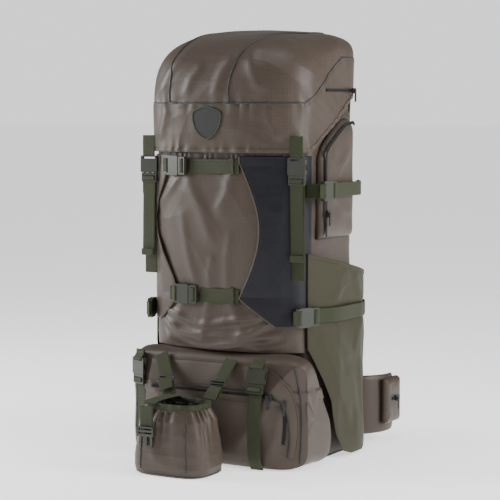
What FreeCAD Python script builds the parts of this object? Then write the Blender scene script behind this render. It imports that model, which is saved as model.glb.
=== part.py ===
import FreeCAD, Part
import math
import os

V = FreeCAD.Vector
os.makedirs("parts", exist_ok=True)

# Driving dimensions in millimetres: +X right, +Y toward the wearer, +Z up, floor at 0.
BODY_HALF = 150.0        # main bag, half its width
BODY_FRONT = -90.0
BODY_BACK = 92.0
BODY_TOP = 600.0
CLOTH = 3.0              # quilted thickness used for the padded fabric walls
COLLAR_TOP = 617.0
LID_HEM = 541.0
LID_SEAM = 622.0
LID_HINGE_Y = 95.0
LID_HINGE_Z = 650.0
FRONT_BOTTOM = 198.0     # front pocket
FRONT_TOP = 537.0
WEB = 25.0               # webbing width
WEB_T = 1.6              # webbing thickness
SIDE_X = 166.0           # outer face of a side pocket
BASE_T = 5.5             # stiff base panel
PAD_T = 11.0             # shoulder pad thickness
WING_T = 13.0            # hip wing thickness


def box(x0, x1, y0, y1, z0, z1):
    return Part.makeBox(x1 - x0, y1 - y0, z1 - z0, V(x0, y0, z0))


def face_of(points):
    return Part.Face(Part.makePolygon(points + [points[0]]))


def prism_x(yz, x0, x1):
    return face_of([V(x0, y, z) for y, z in yz]).extrude(V(x1 - x0, 0, 0))


def prism_y(xz, y0, y1):
    return face_of([V(x, y0, z) for x, z in xz]).extrude(V(0, y1 - y0, 0))


def prism_z(xy, z0, z1):
    return face_of([V(x, y, z0) for x, y in xy]).extrude(V(0, 0, z1 - z0))


def rounded_wire(x0, x1, y0, y1, r, z):
    k = r * (1 - math.sqrt(0.5))
    c = [(x0, y0), (x1, y0), (x1, y1), (x0, y1)]
    inward = [(1, 1), (-1, 1), (-1, -1), (1, -1)]
    along = [(1, 0), (0, 1), (-1, 0), (0, -1)]
    edges = []
    for i in range(4):
        (cx, cy), (ix, iy), (ax, ay) = c[i], inward[i], along[i]
        nx, ny = c[(i + 1) % 4]
        a = V(cx + ax * r, cy + ay * r, z)
        b = V(nx - ax * r, ny - ay * r, z)
        edges.append(Part.makeLine(a, b))
        jx, jy = inward[(i + 1) % 4]
        mx, my = along[(i + 1) % 4]
        edges.append(Part.Arc(b, V(nx + jx * k, ny + jy * k, z), V(nx + mx * r, ny + my * r, z)).toShape())
    return Part.Wire(edges)


def rounded_block(x0, x1, y0, y1, r, z0, z1):
    return Part.Face(rounded_wire(x0, x1, y0, y1, r, z0)).extrude(V(0, 0, z1 - z0))


def bowed_wire(half, y_corner, y_mid, y_back, z, corner=12.0, rear=16.0):
    k = 1 - math.sqrt(0.5)
    s, r = corner, rear
    pts = [V(-half + s, y_corner, z), V(half - s, y_corner, z), V(half, y_corner + s, z),
           V(half, y_back - r, z), V(half - r, y_back, z), V(-half + r, y_back, z),
           V(-half, y_back - r, z), V(-half, y_corner + s, z)]
    arc = lambda a, m, b: Part.Arc(a, m, b).toShape()
    edges = [arc(pts[0], V(0, y_mid, z), pts[1]),
             arc(pts[1], V(half - s * k, y_corner + s * k, z), pts[2]),
             Part.makeLine(pts[2], pts[3]),
             arc(pts[3], V(half - r * k, y_back - r * k, z), pts[4]),
             Part.makeLine(pts[4], pts[5]),
             arc(pts[5], V(-half + r * k, y_back - r * k, z), pts[6]),
             Part.makeLine(pts[6], pts[7]),
             arc(pts[7], V(-half + s * k, y_corner + s * k, z), pts[0])]
    return Part.Wire(edges)


def bowed_block(half, y_corner, y_mid, y_back, z0, z1):
    return Part.Face(bowed_wire(half, y_corner, y_mid, y_back, z0)).extrude(V(0, 0, z1 - z0))


def ribbon(points, thick):
    """Closed outline of a band of constant thickness along an open line in a plane."""
    left, right = [], []
    n = len(points)
    for i in range(n):
        dirs = []
        for a, b in ((i - 1, i), (i, i + 1)):
            if a >= 0 and b < n:
                dx, dy = points[b][0] - points[a][0], points[b][1] - points[a][1]
                d = math.hypot(dx, dy)
                dirs.append((dx / d, dy / d))
        nx = sum(-d[1] for d in dirs)
        ny = sum(d[0] for d in dirs)
        m = math.hypot(nx, ny)
        nx, ny = nx / m, ny / m
        c = nx * -dirs[0][1] + ny * dirs[0][0]
        k = thick / 2 / c
        left.append((points[i][0] + nx * k, points[i][1] + ny * k))
        right.append((points[i][0] - nx * k, points[i][1] - ny * k))
    return left + right[::-1]


def placed(shape, origin, u, w):
    """Local x along u, local z along w."""
    u, w = V(*u).normalize(), V(*w).normalize()
    v = w.cross(u)
    m = FreeCAD.Matrix(u.x, v.x, w.x, origin[0], u.y, v.y, w.y, origin[1], u.z, v.z, w.z, origin[2], 0, 0, 0, 1)
    out = shape.copy()
    out.Placement = FreeCAD.Placement(m)
    return out


def slab(p0, p1, half_width, thick):
    """Flat strap from p0 to p1, its width along X."""
    a, b = V(*p0), V(*p1)
    d = b - a
    n = d.cross(V(1, 0, 0)).normalize() * (thick / 2)
    h = V(half_width, 0, 0)
    return face_of([a - h - n, a + h - n, a + h + n, a - h + n]).extrude(d)


def mirror(shape):
    return shape.mirror(V(0, 0, 0), V(1, 0, 0))


def save(name, *shapes):
    solids = [s for shape in shapes for s in shape.Solids]
    out = solids[0] if len(solids) == 1 else Part.makeCompound(solids)
    out.exportStep("parts/" + name + ".step")


# Side-release buckle halves. x is the way the plug pulls out, z is away from the bag.
def socket(open_back=False):
    outer = prism_z([(-30, -15), (-27, -17), (-2, -17), (0, -15.5), (0, 15.5), (-2, 17), (-27, 17), (-30, 15)],
                    2.9 if open_back else 0.5, 9.1)
    low = 0 if open_back else 2.1
    cavity = box(-23, 1, -14.5, 14.5, low, 7.5)
    slot = box(-27.5, -24.5, -12.8, 12.8, -1, 12)
    windows = box(-19, -9, -18, 18, 3.6, 6.6)
    out = outer.cut(cavity).cut(slot).cut(windows)
    if open_back:
        out = out.fuse(box(-30, -28, -15, 15, 2.9, 9.1)).removeSplitter()
    return out


def plug():
    body = prism_z([(0.6, -15.5), (15, -15.5), (17, -14), (17, 14), (15, 15.5), (0.6, 15.5)], 2.7, 8.2)
    body = body.cut(box(5.0, 7.8, -12.8, 12.8, 0, 12)).cut(box(11.5, 14.3, -12.8, 12.8, 0, 12))
    arm = prism_z([(1, 8), (1, 12.5), (-11, 13.5), (-17, 11.5), (-18.5, 9), (-11, 9)], 3.0, 6.6)
    other = arm.mirror(V(0, 0, 0), V(0, 1, 0))
    tongue = prism_z([(1, -2.4), (-15, -2.0), (-16.5, 0), (-15, 2.0), (1, 2.4)], 3.2, 6.4)
    return body.fuse(arm).fuse(other).fuse(tongue).removeSplitter()


def zip_slider(down):
    """x along the teeth; the pull hangs the way `down` points in the local plane."""
    body = prism_z([(-6, -3.2), (-4, -4.6), (5, -4.6), (6, -3.6), (6, 3.6), (5, 4.6), (-4, 4.6), (-6, 3.2)], 0.6, 4.4)
    post = box(-1.6, 1.6, -1.6, 1.6, 4.2, 5.4)
    d = V(*down)
    side = V(-d.y, d.x, 0) * 2.2
    start = V(0, 0, 5.2) - d * 2.2
    tab = face_of([start - side, start + side, start + side + V(0, 0, 1.6), start - side + V(0, 0, 1.6)])
    return body.fuse(post).fuse(tab.extrude(d * 22.0)).removeSplitter()


# --- main bag ---------------------------------------------------------------------------------
shell_outer = rounded_block(-BODY_HALF, BODY_HALF, BODY_FRONT, BODY_BACK, 35, BASE_T, BODY_TOP)
shell_inner = rounded_block(-BODY_HALF + CLOTH, BODY_HALF - CLOTH, BODY_FRONT + CLOTH, BODY_BACK - CLOTH, 32,
                            BASE_T + CLOTH, BODY_TOP + 1)
save("main_shell", shell_outer.cut(shell_inner))
collar_out = rounded_block(-BODY_HALF + 1.6, BODY_HALF - 1.6, BODY_FRONT + 1.6, BODY_BACK - 9, 33, BODY_TOP, COLLAR_TOP)
collar_in = rounded_block(-BODY_HALF + 3, BODY_HALF - 3, BODY_FRONT + 3, BODY_BACK - 10.4, 32, BODY_TOP - 1, COLLAR_TOP + 1)
save("collar", collar_out.cut(collar_in))
save("base_panel", rounded_block(-BODY_HALF, BODY_HALF, BODY_FRONT, BODY_BACK, 35, 0, BASE_T))

# --- sleeping-bag compartment across the lower front ---------------------------------------------
profile = [(-40, 0), (-160, 0), (-174, 22), (-176, 62), (-166, 122), (-152, 172), (-146, 192), (-100, 196), (-25, 87)]
LOW_HALF, LOW_CORNER, LOW_MID = 176.0, -140.0, -178.0
low_plan = bowed_block(LOW_HALF, LOW_CORNER, LOW_MID, 60, 0, 200)
core = rounded_block(-BODY_HALF, BODY_HALF, BODY_FRONT, BODY_BACK, 35, -1, 700)
low_body = prism_x(profile, -180, 180).common(low_plan)
flap_plan = bowed_block(LOW_HALF + 2, LOW_CORNER - 2, LOW_MID - 2.5, 60, 0, 200)
flap = prism_x([(-152, 172), (-163.2, 132), (-165.6, 132.6), (-154.4, 172.6)], -124, 146).common(flap_plan)
save("lower_compartment", low_body.cut(core), flap.cut(low_body))

# --- front pocket and the two compression wings ---------------------------------------------------
front_line = [(-150, -78), (-146, -104), (-120, -122), (-70, -136), (0, -141),
              (70, -136), (120, -122), (146, -104), (150, -78)]
front_block = prism_z(front_line + [(150, -56), (-150, -56)], FRONT_BOTTOM, FRONT_TOP)
save("front_pocket", front_block.cut(core))


def outset(points, d):
    """The same line moved outward by d."""
    band = ribbon(points, 2 * d)
    return band[len(points):][::-1]


skin_line = outset(front_line, 1.5)
skin = prism_z(ribbon(skin_line, 2.4), 150, 560)
right_outline = [(49, 521), (154, 533), (154, 246), (112, 240), (47, 288), (62, 330), (84, 414), (66, 470)]
left_outline = [(-92, 530), (-154, 536), (-154, 246), (-122, 240), (-76, 288), (-104, 350), (-139, 424), (-112, 480)]
save("right_wing", skin.common(prism_y(right_outline, -160, -62)))
save("left_wing", skin.common(prism_y(left_outline, -160, -62)))

# --- side pockets, and the stretch pockets under them -----------------------------------------------
pocket_yz = [(-58, 385), (-58, 528), (-44, 548), (-14, 572), (20, 592), (50, 598), (66, 585), (66, 385)]
side_pocket = prism_x(pocket_yz, BODY_HALF, SIDE_X)
save("side_pocket_right", side_pocket)
save("side_pocket_left", mirror(side_pocket))
stretch_plan = [(150, -92), (155, -92), (176, -35), (180, -10), (180, 60), (165, 97), (150, 99)]
stretch_hole = [(152.5, -88), (154, -88), (173.6, -33), (177.5, -9), (177.5, 59), (163.4, 94.5), (152.5, 95.5)]
stretch_yz = [(-92, 362), (-96, 215), (-22, 94), (-33, 14), (-30, 0.6), (99, 0.6), (99, 318)]
stretch_inner_yz = [(-91, 380), (-92, 218), (-18, 96), (-29, 16), (-28, 4), (97, 4), (97, 380)]
stretch = prism_z(stretch_plan, 0, 380).common(prism_x(stretch_yz, 140, 190))
stretch = stretch.cut(prism_z(stretch_hole, 0, 390).common(prism_x(stretch_inner_yz, 140, 190))).cut(core)
stretch = stretch.cut(low_body).cut(skin)
save("stretch_pocket_right", stretch)
save("stretch_pocket_left", mirror(stretch))

# --- zips fixed to the bag ----------------------------------------------------------------------------
low_zip = prism_x([(-163.4, 131.4), (-164.9, 126), (-166.2, 126.3), (-164.7, 131.7)], -120, 128).common(flap_plan)
low_zip = low_zip.cut(low_body)
side_teeth = box(SIDE_X, SIDE_X + 1.2, -52, -46, 392, 532)
side_arch = prism_x(ribbon([(-49, 532.3), (-40, 545), (-12, 564), (20, 582), (48, 588), (56, 584)], 6), SIDE_X, SIDE_X + 1.2)
side_zip = side_teeth.fuse(side_arch.cut(side_teeth)).removeSplitter()
save("zips", low_zip, side_zip, mirror(side_zip))

# --- buckles: every socket sewn to the bag, every plug its own piece -----------------------------------
UPPER_SIDE = ((175.2, -60.0, 473.0), (0, 1, 0), (1, 0, 0))
LOWER_SIDE = ((155.9, -92.4, 258.0), (0.346, 0.938, 0), (0.938, -0.346, 0))
UPPER_FRONT = ((-72.8, -138.4, 514.0), (0.963, -0.27, 0), (-0.27, -0.963, 0))
LOWER_FRONT = ((-52.0, -140.5, 291.0), (0.9975, -0.071, 0), (-0.071, -0.9975, 0))
BASE_RIGHT = ((98.0, -169.0, 147.5), (0, -0.27, -0.963), (0, -0.963, 0.27))
BASE_LEFT = ((-149.4, -149.0, 144.0), (0, 0, -1), (-0.386, -0.923, 0))
LID_STRAP = ((148.5, -117.0, 500.0), (0, 0, -1), (0, -1, 0))
side_u, side_l = placed(socket(), *UPPER_SIDE), placed(socket(), *LOWER_SIDE)
save("bag_sockets", side_u, mirror(side_u), side_l, mirror(side_l),
     placed(socket(), *UPPER_FRONT), placed(socket(), *LOWER_FRONT),
     placed(socket(), *BASE_RIGHT), placed(socket(), *BASE_LEFT))
save("side_plug_upper_right", placed(plug(), *UPPER_SIDE))
save("side_plug_upper_left", mirror(placed(plug(), *UPPER_SIDE)))
save("side_plug_lower_right", placed(plug(), *LOWER_SIDE))
save("side_plug_lower_left", mirror(placed(plug(), *LOWER_SIDE)))
save("front_plug_upper", placed(plug(), *UPPER_FRONT))
save("front_plug_lower", placed(plug(), *LOWER_FRONT))
save("base_plug_right", placed(plug(), *BASE_RIGHT))
save("base_plug_left", placed(plug(), *BASE_LEFT))
save("lid_plug_right", placed(plug(), *LID_STRAP))
save("lid_plug_left", mirror(placed(plug(), *LID_STRAP)))

# --- webbing fixed to the bag ---------------------------------------------------------------------------
H = WEB / 2


def band_z(points, z):
    return prism_z(ribbon(points, WEB_T), z - H, z + H)


upper_side = band_z([(176.3, -57), (176.3, 62), (153, 96)], 473)
upper_tab = band_z([(153.6, -96), (175.6, -91.4)], 473)
lower_side = band_z([(157.6, -90.6), (178.4, -36), (182.4, -10), (182.4, 60.6), (166.6, 99.2), (151, 101.2)], 258)
save("side_webbing", upper_side, mirror(upper_side), upper_tab, mirror(upper_tab), lower_side, mirror(lower_side))
over_front = outset(front_line, 4.1)
mid = over_front[3:6]
upper_run = [(-68.5, mid[0][1] - 0.1), mid[1], (46, mid[2][1] + (mid[1][1] - mid[2][1]) * 0.34)]
lower_run = [(-49, mid[1][1] + 3.4), mid[1], (44, mid[2][1] + (mid[1][1] - mid[2][1]) * 0.37)]
lid_anchor = box(148.5 - H, 148.5 + H, -118.9, -117.3, 322, 498)
right_path = [(-170.9, 146), (-177.1, 122.6), (-180.6, 62), (-179.2, 20), (-169, 1.2)]
right_run = prism_x(ribbon(right_path, WEB_T), 98 - H, 98 + H)
right_tab = placed(box(-46, -30.2, -H, H, 2.0, 3.6), *BASE_RIGHT)
left_run = placed(box(2, 140, -H, H, 0.3, 1.9), *BASE_LEFT)
left_tab = placed(box(-46, -30.2, -H, H, 2.0, 3.6), *BASE_LEFT)
save("front_webbing", band_z(upper_run, 514), band_z(lower_run, 291), lid_anchor, mirror(lid_anchor),
     right_run, right_tab, left_run, left_tab)

# --- lid --------------------------------------------------------------------------------------------------
sections = [(LID_SEAM, 160, -118, -150, 97), (660, 159, -116, -147, 97), (690, 151, -106, -136, 97),
            (722, 131, -84, -112, 97), (742, 103, -56, -80, 94), (753.5, 72, -24, -44, 88)]
dome = Part.makeLoft([bowed_wire(h, c, m, b, z) for z, h, c, m, b in sections], True, True)
inner = Part.makeLoft([bowed_wire(h - CLOTH, c + CLOTH, m + CLOTH, b - CLOTH, z - (0 if i == 0 else CLOTH), 10, 14)
                       for i, (z, h, c, m, b) in enumerate(sections)], True, True)
hem_cut = prism_x([(-90, LID_HEM - 1), (-90, LID_HEM), (98.5, LID_HINGE_Z + 1), (98.5, LID_HEM - 1)], -170, 170)
save("lid_top", dome.cut(inner).cut(hem_cut), bowed_block(156.2, -114, -145.6, 92, 640, 642))
skirt = bowed_block(160, -118, -150, 97, LID_HEM, LID_SEAM).cut(bowed_block(157, -115, -147, 94, LID_HEM - 1, LID_SEAM + 1))
save("lid_skirt", skirt.cut(hem_cut))
patch_xz = [(-41, 612), (-12, 617), (17, 612), (16, 588), (2, 566), (-12, 558), (-26, 566), (-40, 588)]
patch_skin = bowed_block(162, -120, -152, 99, 550, 620).cut(bowed_block(160.1, -118.1, -150.1, 97.1, 549, 621))
save("lid_patch", patch_skin.common(prism_y(patch_xz, -160, -100)))
lid_web = box(148.5 - H, 148.5 + H, -125.6, -124.0, 530.2, 566)
save("lid_webbing", lid_web, mirror(lid_web))
lid_sock = placed(socket(True), *LID_STRAP)
save("lid_sockets", lid_sock, mirror(lid_sock))
save("lid_zip", box(158.0, 161.0, -40, 72, 641, 647).cut(dome))
save("lid_zip_slider", placed(zip_slider((0, -1, 0)), (161.0, 58, 644), (0, 1, 0), (1, 0, 0)))

# --- zip sliders on the bag -----------------------------------------------------------------------------------
side_slider = placed(zip_slider((-1, 0, 0)), (SIDE_X + 1.2, -49, 432), (0, 0, 1), (1, 0, 0))
save("side_slider_right", side_slider)
save("side_slider_left", mirror(side_slider))
save("lower_slider_left", placed(zip_slider((0, -1, 0)), (120, -166.6, 126), (1, 0, 0), (0, -1, 0)))
save("lower_slider_right", placed(zip_slider((-1, 0, 0)), (142, -153.4, 116), (0, 0, 1), (0.36, -0.933, 0)))

# --- frame and back ---------------------------------------------------------------------------------------------
save("frame_sheet", box(-118, 118, 86.2, 88.2, 20, 585))
stay = box(52, 70, 82.6, 85.8, 22, 583)
save("stays", stay, mirror(stay))
back_pad = prism_y([(16, 160), (24, 150), (62, 150), (70, 160), (70, 516), (62, 526), (24, 526), (16, 516)],
                   BODY_BACK, BODY_BACK + 14)
save("back_pads", back_pad, mirror(back_pad))
save("lumbar_pad", prism_y([(-98, 40), (-86, 28), (86, 28), (98, 40), (98, 124), (86, 136), (-86, 136), (-98, 124)],
                           BODY_BACK, BODY_BACK + 26))
loop_out = prism_y([(-44, 588), (-44, 552), (-34, 541), (34, 541), (44, 552), (44, 588)], 95.6, 98.6)
loop_in = prism_y([(-24, 596), (-24, 564), (-20, 560), (20, 560), (24, 564), (24, 596)], 90, 105)
loop_bar = box(-44, 44, 95.6, 98.6, 584, 588)
save("haul_loop", loop_out.cut(loop_in).fuse(loop_bar).removeSplitter())

# --- shoulder straps -----------------------------------------------------------------------------------------------
pad_line = [(103, 566), (126, 546), (144, 500), (144, 380), (134, 300)]
pad = prism_x(ribbon(pad_line, PAD_T), 50, 110)
save("shoulder_pad_right", pad)
save("shoulder_pad_left", mirror(pad))
rail = box(53, 57, 150.2, 153.0, 385, 495)
rail = rail.fuse(box(53, 57, 149.5, 150.4, 385, 391)).fuse(box(53, 57, 149.5, 150.4, 489, 495)).removeSplitter()
lock = prism_x([(128.4, 298.6), (139.0, 297.6), (136.6, 276), (129.8, 277)], 74, 106)
lock = lock.cut(box(77, 103, 120, 150, 282, 285)).cut(box(77, 103, 120, 150, 290, 293))
save("shoulder_hardware_right", rail, lock)
save("shoulder_hardware_left", mirror(rail), mirror(lock))
lifter = prism_x(ribbon([(93.0, 604.6), (122, 587)], WEB_T), 70, 90)
lower_web = prism_x(ribbon([(93.0, 172), (112, 200), (131.2, 271)], WEB_T), 90 - H, 90 + H)
save("back_webbing", lifter, mirror(lifter), lower_web, mirror(lower_web))

# --- chest strap: each half rides a rail --------------------------------------------------------------------------
small = FreeCAD.Matrix()
small.scale(0.75, 0.75, 0.75)


def chest_half(half, origin, web_x0, web_x1):
    piece = placed(half.transformGeometry(small), origin, (1, 0, 0), (0, 1, 0))
    side = 1 if web_x1 > 0 else -1
    clip = box(min(side * 49, side * 61), max(side * 49, side * 61), 153.6, 158.0, 434, 450)
    web = box(web_x0, web_x1, 156.0, 157.4, 432.5, 451.5)
    return [piece, web, clip.cut(web)]


save("chest_strap_right", *chest_half(plug(), (22, 153.4, 442), 34.9, 55))
save("chest_strap_left", *chest_half(socket(), (-8, 153.4, 442), -55, -30.7))

# --- hip belt ----------------------------------------------------------------------------------------------------------
wing_line = [(110, 112), (150, 136), (170, 172), (168, 208), (148, 236)]
wing = prism_z(ribbon(wing_line, WING_T), 16, 126)
tip_cut = prism_y([(132, 10), (176, 10), (140, 50), (132, 50)], 200, 270)
tip_cut_high = prism_y([(132, 132), (176, 132), (140, 92), (132, 92)], 200, 270)
wing = wing.cut(tip_cut).cut(tip_cut_high)
belt_pocket = prism_z([(177.2, 160), (189, 168), (189, 204), (175.6, 210)], 40, 112).cut(wing)
belt_web = prism_z(ribbon([(147.0, 237.8), (138, 246), (124, 254.6)], 2.4), 52, 90).cut(wing)
short_web = prism_z(ribbon([(147.0, 237.8), (138, 246), (126, 253.2)], 2.4), 52, 90).cut(wing)
save("hip_wing_right", wing, belt_pocket, belt_web)
save("hip_wing_left", mirror(wing), mirror(belt_pocket), mirror(short_web))
wide = FreeCAD.Matrix()
wide.scale(1.0, 1.2, 1.0)
BELT_R = ((106.0, 258.4, 71.0), (0.87, -0.49, 0), (0.49, 0.87, 0))
BELT_L = ((-96.0, 263.9, 71.0), (0.87, 0.49, 0), (-0.49, 0.87, 0))
save("belt_plug", placed(plug().transformGeometry(wide), *BELT_R))
save("belt_socket", placed(socket().transformGeometry(wide), *BELT_L))
belt_slider = placed(zip_slider((0, -1, 0)), (189.0, 186, 80), (0, 1, 0), (1, 0, 0))
save("belt_slider_right", belt_slider)
save("belt_slider_left", mirror(belt_slider))

# --- detachable pouch at the front ------------------------------------------------------------------------------------
pouch_rings = [(0, -74, 48, -290, -198, 20), (14, -80, 54, -294, -196, 24), (60, -78, 52, -293, -197, 24),
               (92, -72, 46, -288, -202, 22), (112, -66, 40, -284, -207, 20)]
pouch_out = Part.makeLoft([rounded_wire(a, b, c, d, r, z) for z, a, b, c, d, r in pouch_rings], True, True)
pouch_in = Part.makeLoft([rounded_wire(a + 2.5, b - 2.5, c + 2.5, d - 2.5, r - 2.5, z + (2.5 if z < 1 else 0.05 if z > 100 else 0))
                          for z, a, b, c, d, r in pouch_rings], True, True)
save("pouch_body", pouch_out.cut(pouch_in))
rim = rounded_block(-66.5, 40.5, -284.5, -206.5, 20, 112, 122).cut(rounded_block(-63.5, 37.5, -281.5, -209.5, 17, 111, 123))
save("pouch_rim", rim)
left_strap = slab((-104, -154, 184), (-55, -204.8, 121.5), H, WEB_T)
right_strap = slab((38, -154, 184), (29, -204.8, 121.5), H, WEB_T)
across = prism_x(ribbon([(-208.2, 123.2), (-245, 124.4), (-283, 123.2), (-287.2, 119.4)], WEB_T), -54, -29)
save("pouch_straps", left_strap.cut(rim), right_strap.cut(rim), across.cut(rim))
tri = box(-16, 16, -5.5, 5.5, 1.0, 4.0).cut(box(-13, 13, -4, -1.2, 0, 5)).cut(box(-13, 13, 1.2, 4, 0, 5))
tri = placed(tri, (0, 0, 0), (1, 0, 0), (0, -0.776, 0.631))
tri_left, tri_right = tri.copy(), tri.copy()
tri_left.translate(V(-73, -187.2, 144.4))
tri_right.translate(V(32.2, -187.2, 144.4))
save("pouch_triglides", tri_left, tri_right)
tab_web = box(-54, -29, -297.6, -296.0, 84.5, 117)
tab_plug = placed(plug(), (-41.5, -293.2, 66.5), (0, 0, 1), (0, -1, 0))
save("pouch_tab", tab_web.cut(tab_plug), tab_plug)
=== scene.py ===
import math

import bmesh
import bpy
import numpy as np
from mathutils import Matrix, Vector


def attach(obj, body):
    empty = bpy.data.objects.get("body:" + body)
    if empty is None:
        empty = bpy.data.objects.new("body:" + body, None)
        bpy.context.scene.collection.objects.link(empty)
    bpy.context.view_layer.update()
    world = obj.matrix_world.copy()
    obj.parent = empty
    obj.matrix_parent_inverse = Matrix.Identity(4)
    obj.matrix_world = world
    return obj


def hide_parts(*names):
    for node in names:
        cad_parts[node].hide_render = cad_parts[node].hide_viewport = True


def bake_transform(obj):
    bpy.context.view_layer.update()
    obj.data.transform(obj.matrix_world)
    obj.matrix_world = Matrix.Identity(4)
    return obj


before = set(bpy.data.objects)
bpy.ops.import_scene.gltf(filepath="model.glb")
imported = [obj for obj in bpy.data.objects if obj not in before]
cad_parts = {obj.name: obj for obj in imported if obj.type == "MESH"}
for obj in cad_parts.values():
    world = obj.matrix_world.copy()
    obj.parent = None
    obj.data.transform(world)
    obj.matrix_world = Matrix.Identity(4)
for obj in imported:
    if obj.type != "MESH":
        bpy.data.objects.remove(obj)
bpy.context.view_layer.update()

bl_info = {
    "name": "Hunting backpack",
    "version": (1, 0, 0),
    "blender": (4, 5, 0),
    "location": "View3D > Sidebar > Backpack",
    "description": "Sews the cloth, webbing and trim of a hunting backpack around its frame",
    "category": "Object",
}

MM = 0.001
FULL_TURN = 6.2832  # radians
SIDES = ((1, "right"), (-1, "left"))

# Driving places of the bag, in millimetres
BODY_HALF = 150
BODY_TOP = 600
HIGH_STRAP = 514
LOW_STRAP = 291
HIGH_SIDE_STRAP = 473
LOW_SIDE_STRAP = 258
LID_STRAP_X = 148.5
SIDE_FACE = 166.2
CHEST_STRAP_Y = 156.7
CHEST_STRAP_Z = 442
STITCH = (2.6, 0.7, 0.45, 0.0)  # length, width, height and side shift of one stitch

# The camera: place in metres, then how far it dips and turns, in degrees
CAMERA_PLACE = (1.5, -2.598, 0.610)
CAMERA_DIP = 4.775
CAMERA_TURN = 30 + 0.239


# ---------------------------------------------------------------- sizes and colours
class PackSizes(bpy.types.PropertyGroup):
    wrinkle: bpy.props.FloatProperty(name="Wrinkle depth",
                                     description="Scale of the folds in the pack cloth",
                                     default=1.0, min=0.0, max=2.0)
    webbing: bpy.props.FloatProperty(name="Webbing width", description="Width of the straps",
                                     default=0.025, unit="LENGTH")
    ripstop: bpy.props.FloatProperty(name="Ripstop grid", description="Spacing of the thicker threads",
                                     default=0.0052, unit="LENGTH")
    stitch: bpy.props.FloatProperty(name="Stitch length", description="Length of one stitch with its gap",
                                    default=0.0042, unit="LENGTH")


def colour(label, text, value):
    """A colour that a user may change, with its label, description and default."""
    return bpy.props.FloatVectorProperty(name=label, description=text, default=value, size=3,
                                         subtype="COLOR",
                                         min=0.0, max=1.0)


class PackColours(bpy.types.PropertyGroup):
    cloth: colour("Pack cloth", "Satin taupe cloth of the bag", (0.056, 0.041, 0.031))
    navy: colour("Navy cloth", "Dark cloth of the right wing", (0.0032, 0.0030, 0.0075))
    stretch: colour("Stretch cloth", "Olive cloth of the side pockets", (0.025, 0.0225, 0.0072))
    webbing: colour("Webbing", "Olive straps", (0.025, 0.030, 0.0085))
    plastic: colour("Buckles", "Olive grey moulded plastic", (0.024, 0.027, 0.018))
    black: colour("Black trim", "Zips, cords and the patch", (0.007, 0.007, 0.0075))
    mesh: colour("Back mesh", "Open mesh over the pads", (0.013, 0.013, 0.014))


def sizes():
    """The sizes held by the scene."""
    return bpy.context.scene.pack_sizes


def shades():
    """The colours held by the scene."""
    return bpy.context.scene.pack_colours


# ---------------------------------------------------------------- curves and surfaces
def spline(points, n, closed=False):
    """A smooth line through the points: each run is the cubic whose end slopes are half the chord
    between the neighbours on either side."""
    p = np.asarray(points, float)
    p = np.vstack([p[-1], p, p[0], p[1]]) if closed else np.vstack([2 * p[0] - p[1], p, 2 * p[-1] - p[-2]])
    runs = len(p) - 3
    t = np.linspace(0, runs, n, endpoint=not closed)
    i = np.minimum(t.astype(int), runs - 1)
    f = (t - i)[:, None]
    a, b, c, d = p[i], p[i + 1], p[i + 2], p[i + 3]
    return 0.5 * (2 * b + (c - a) * f + (2 * a - 5 * b + 4 * c - d) * f ** 2
                  + (3 * b - a - 3 * c + d) * f ** 3)


def even(path, n, closed=False):
    """The same line with n points at equal steps of its own length."""
    p = np.vstack([path, path[:1]]) if closed else path
    s = np.concatenate([[0], np.cumsum(np.linalg.norm(np.diff(p, axis=0), axis=1))])
    t = np.linspace(0, s[-1], n, endpoint=not closed)
    return np.stack([np.interp(t, s, p[:, k]) for k in range(p.shape[1])], 1)


def joined(line):
    """The same row of points with its first one repeated at the end."""
    return np.vstack([line, line[:1]])


def softened(outline, n):
    """A closed outline as n even points, its corners rounded by averaging neighbours six times."""
    o = even(np.asarray(outline, float), n, closed=True)
    for _ in range(6):
        o = (np.roll(o, 1, 0) + 2 * o + np.roll(o, -1, 0)) / 4
    return o


def smooth(t):
    """An even step from 0 to 1 with level ends: 3t squared minus 2t cubed."""
    t = np.clip(t, 0, 1)
    return t * t * (3 - 2 * t)


def power(v, e):
    """The value to a power with its sign kept, as a superellipse needs."""
    return np.sign(v) * np.abs(v) ** e


def ring(half, y_front, y_back, y_mid, n, front=(3.2, 2.6), back=(9.0, 9.0)):
    """A closed plan outline: two half superellipses that meet at y_mid, |x/half|^p + |y/depth|^q = 1,
    one reaching y_front and one reaching y_back, begun at the middle of the back."""
    a = np.linspace(0, 2 * np.pi, 900, endpoint=False) + np.pi / 2
    c, s = np.cos(a), np.sin(a)
    rear = s >= 0
    x = half * np.where(rear, power(c, 2 / back[0]), power(c, 2 / front[0]))
    y = y_mid + np.where(rear, (y_back - y_mid) * power(s, 2 / back[1]),
                         (y_mid - y_front) * power(s, 2 / front[1]))
    return even(np.stack([x, y], 1), n, closed=True)


def bow(n, grow=0.0, half=150.0, y_side=-78.0, y_mid=-141.0):
    """The bag's front from left to right as seen in plan: half a superellipse, moved outward by grow."""
    a = np.linspace(-np.pi / 2, np.pi / 2, 700)
    x = half * power(np.sin(a), 2 / 2.2)
    y = y_side + (y_mid - y_side) * np.cos(a) ** (2 / 2.63)
    p = even(np.stack([x, y], 1), n)
    t = np.gradient(p, axis=0)
    nrm = np.stack([t[:, 1], -t[:, 0]], 1)
    nrm /= np.linalg.norm(nrm, axis=1)[:, None]
    return p + nrm * grow, nrm


def normals(P, wrap_u=False, wrap_v=False):
    """Unit normals of a grid: the cross product of its slopes along both directions."""
    def slope(A, axis, wrap):
        if wrap:
            return np.roll(A, -1, axis) - np.roll(A, 1, axis)
        return np.gradient(A, axis=axis)
    n = np.cross(slope(P, 0, wrap_u), slope(P, 1, wrap_v))
    return n / np.maximum(np.linalg.norm(n, axis=-1, keepdims=True), 1e-9)


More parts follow.
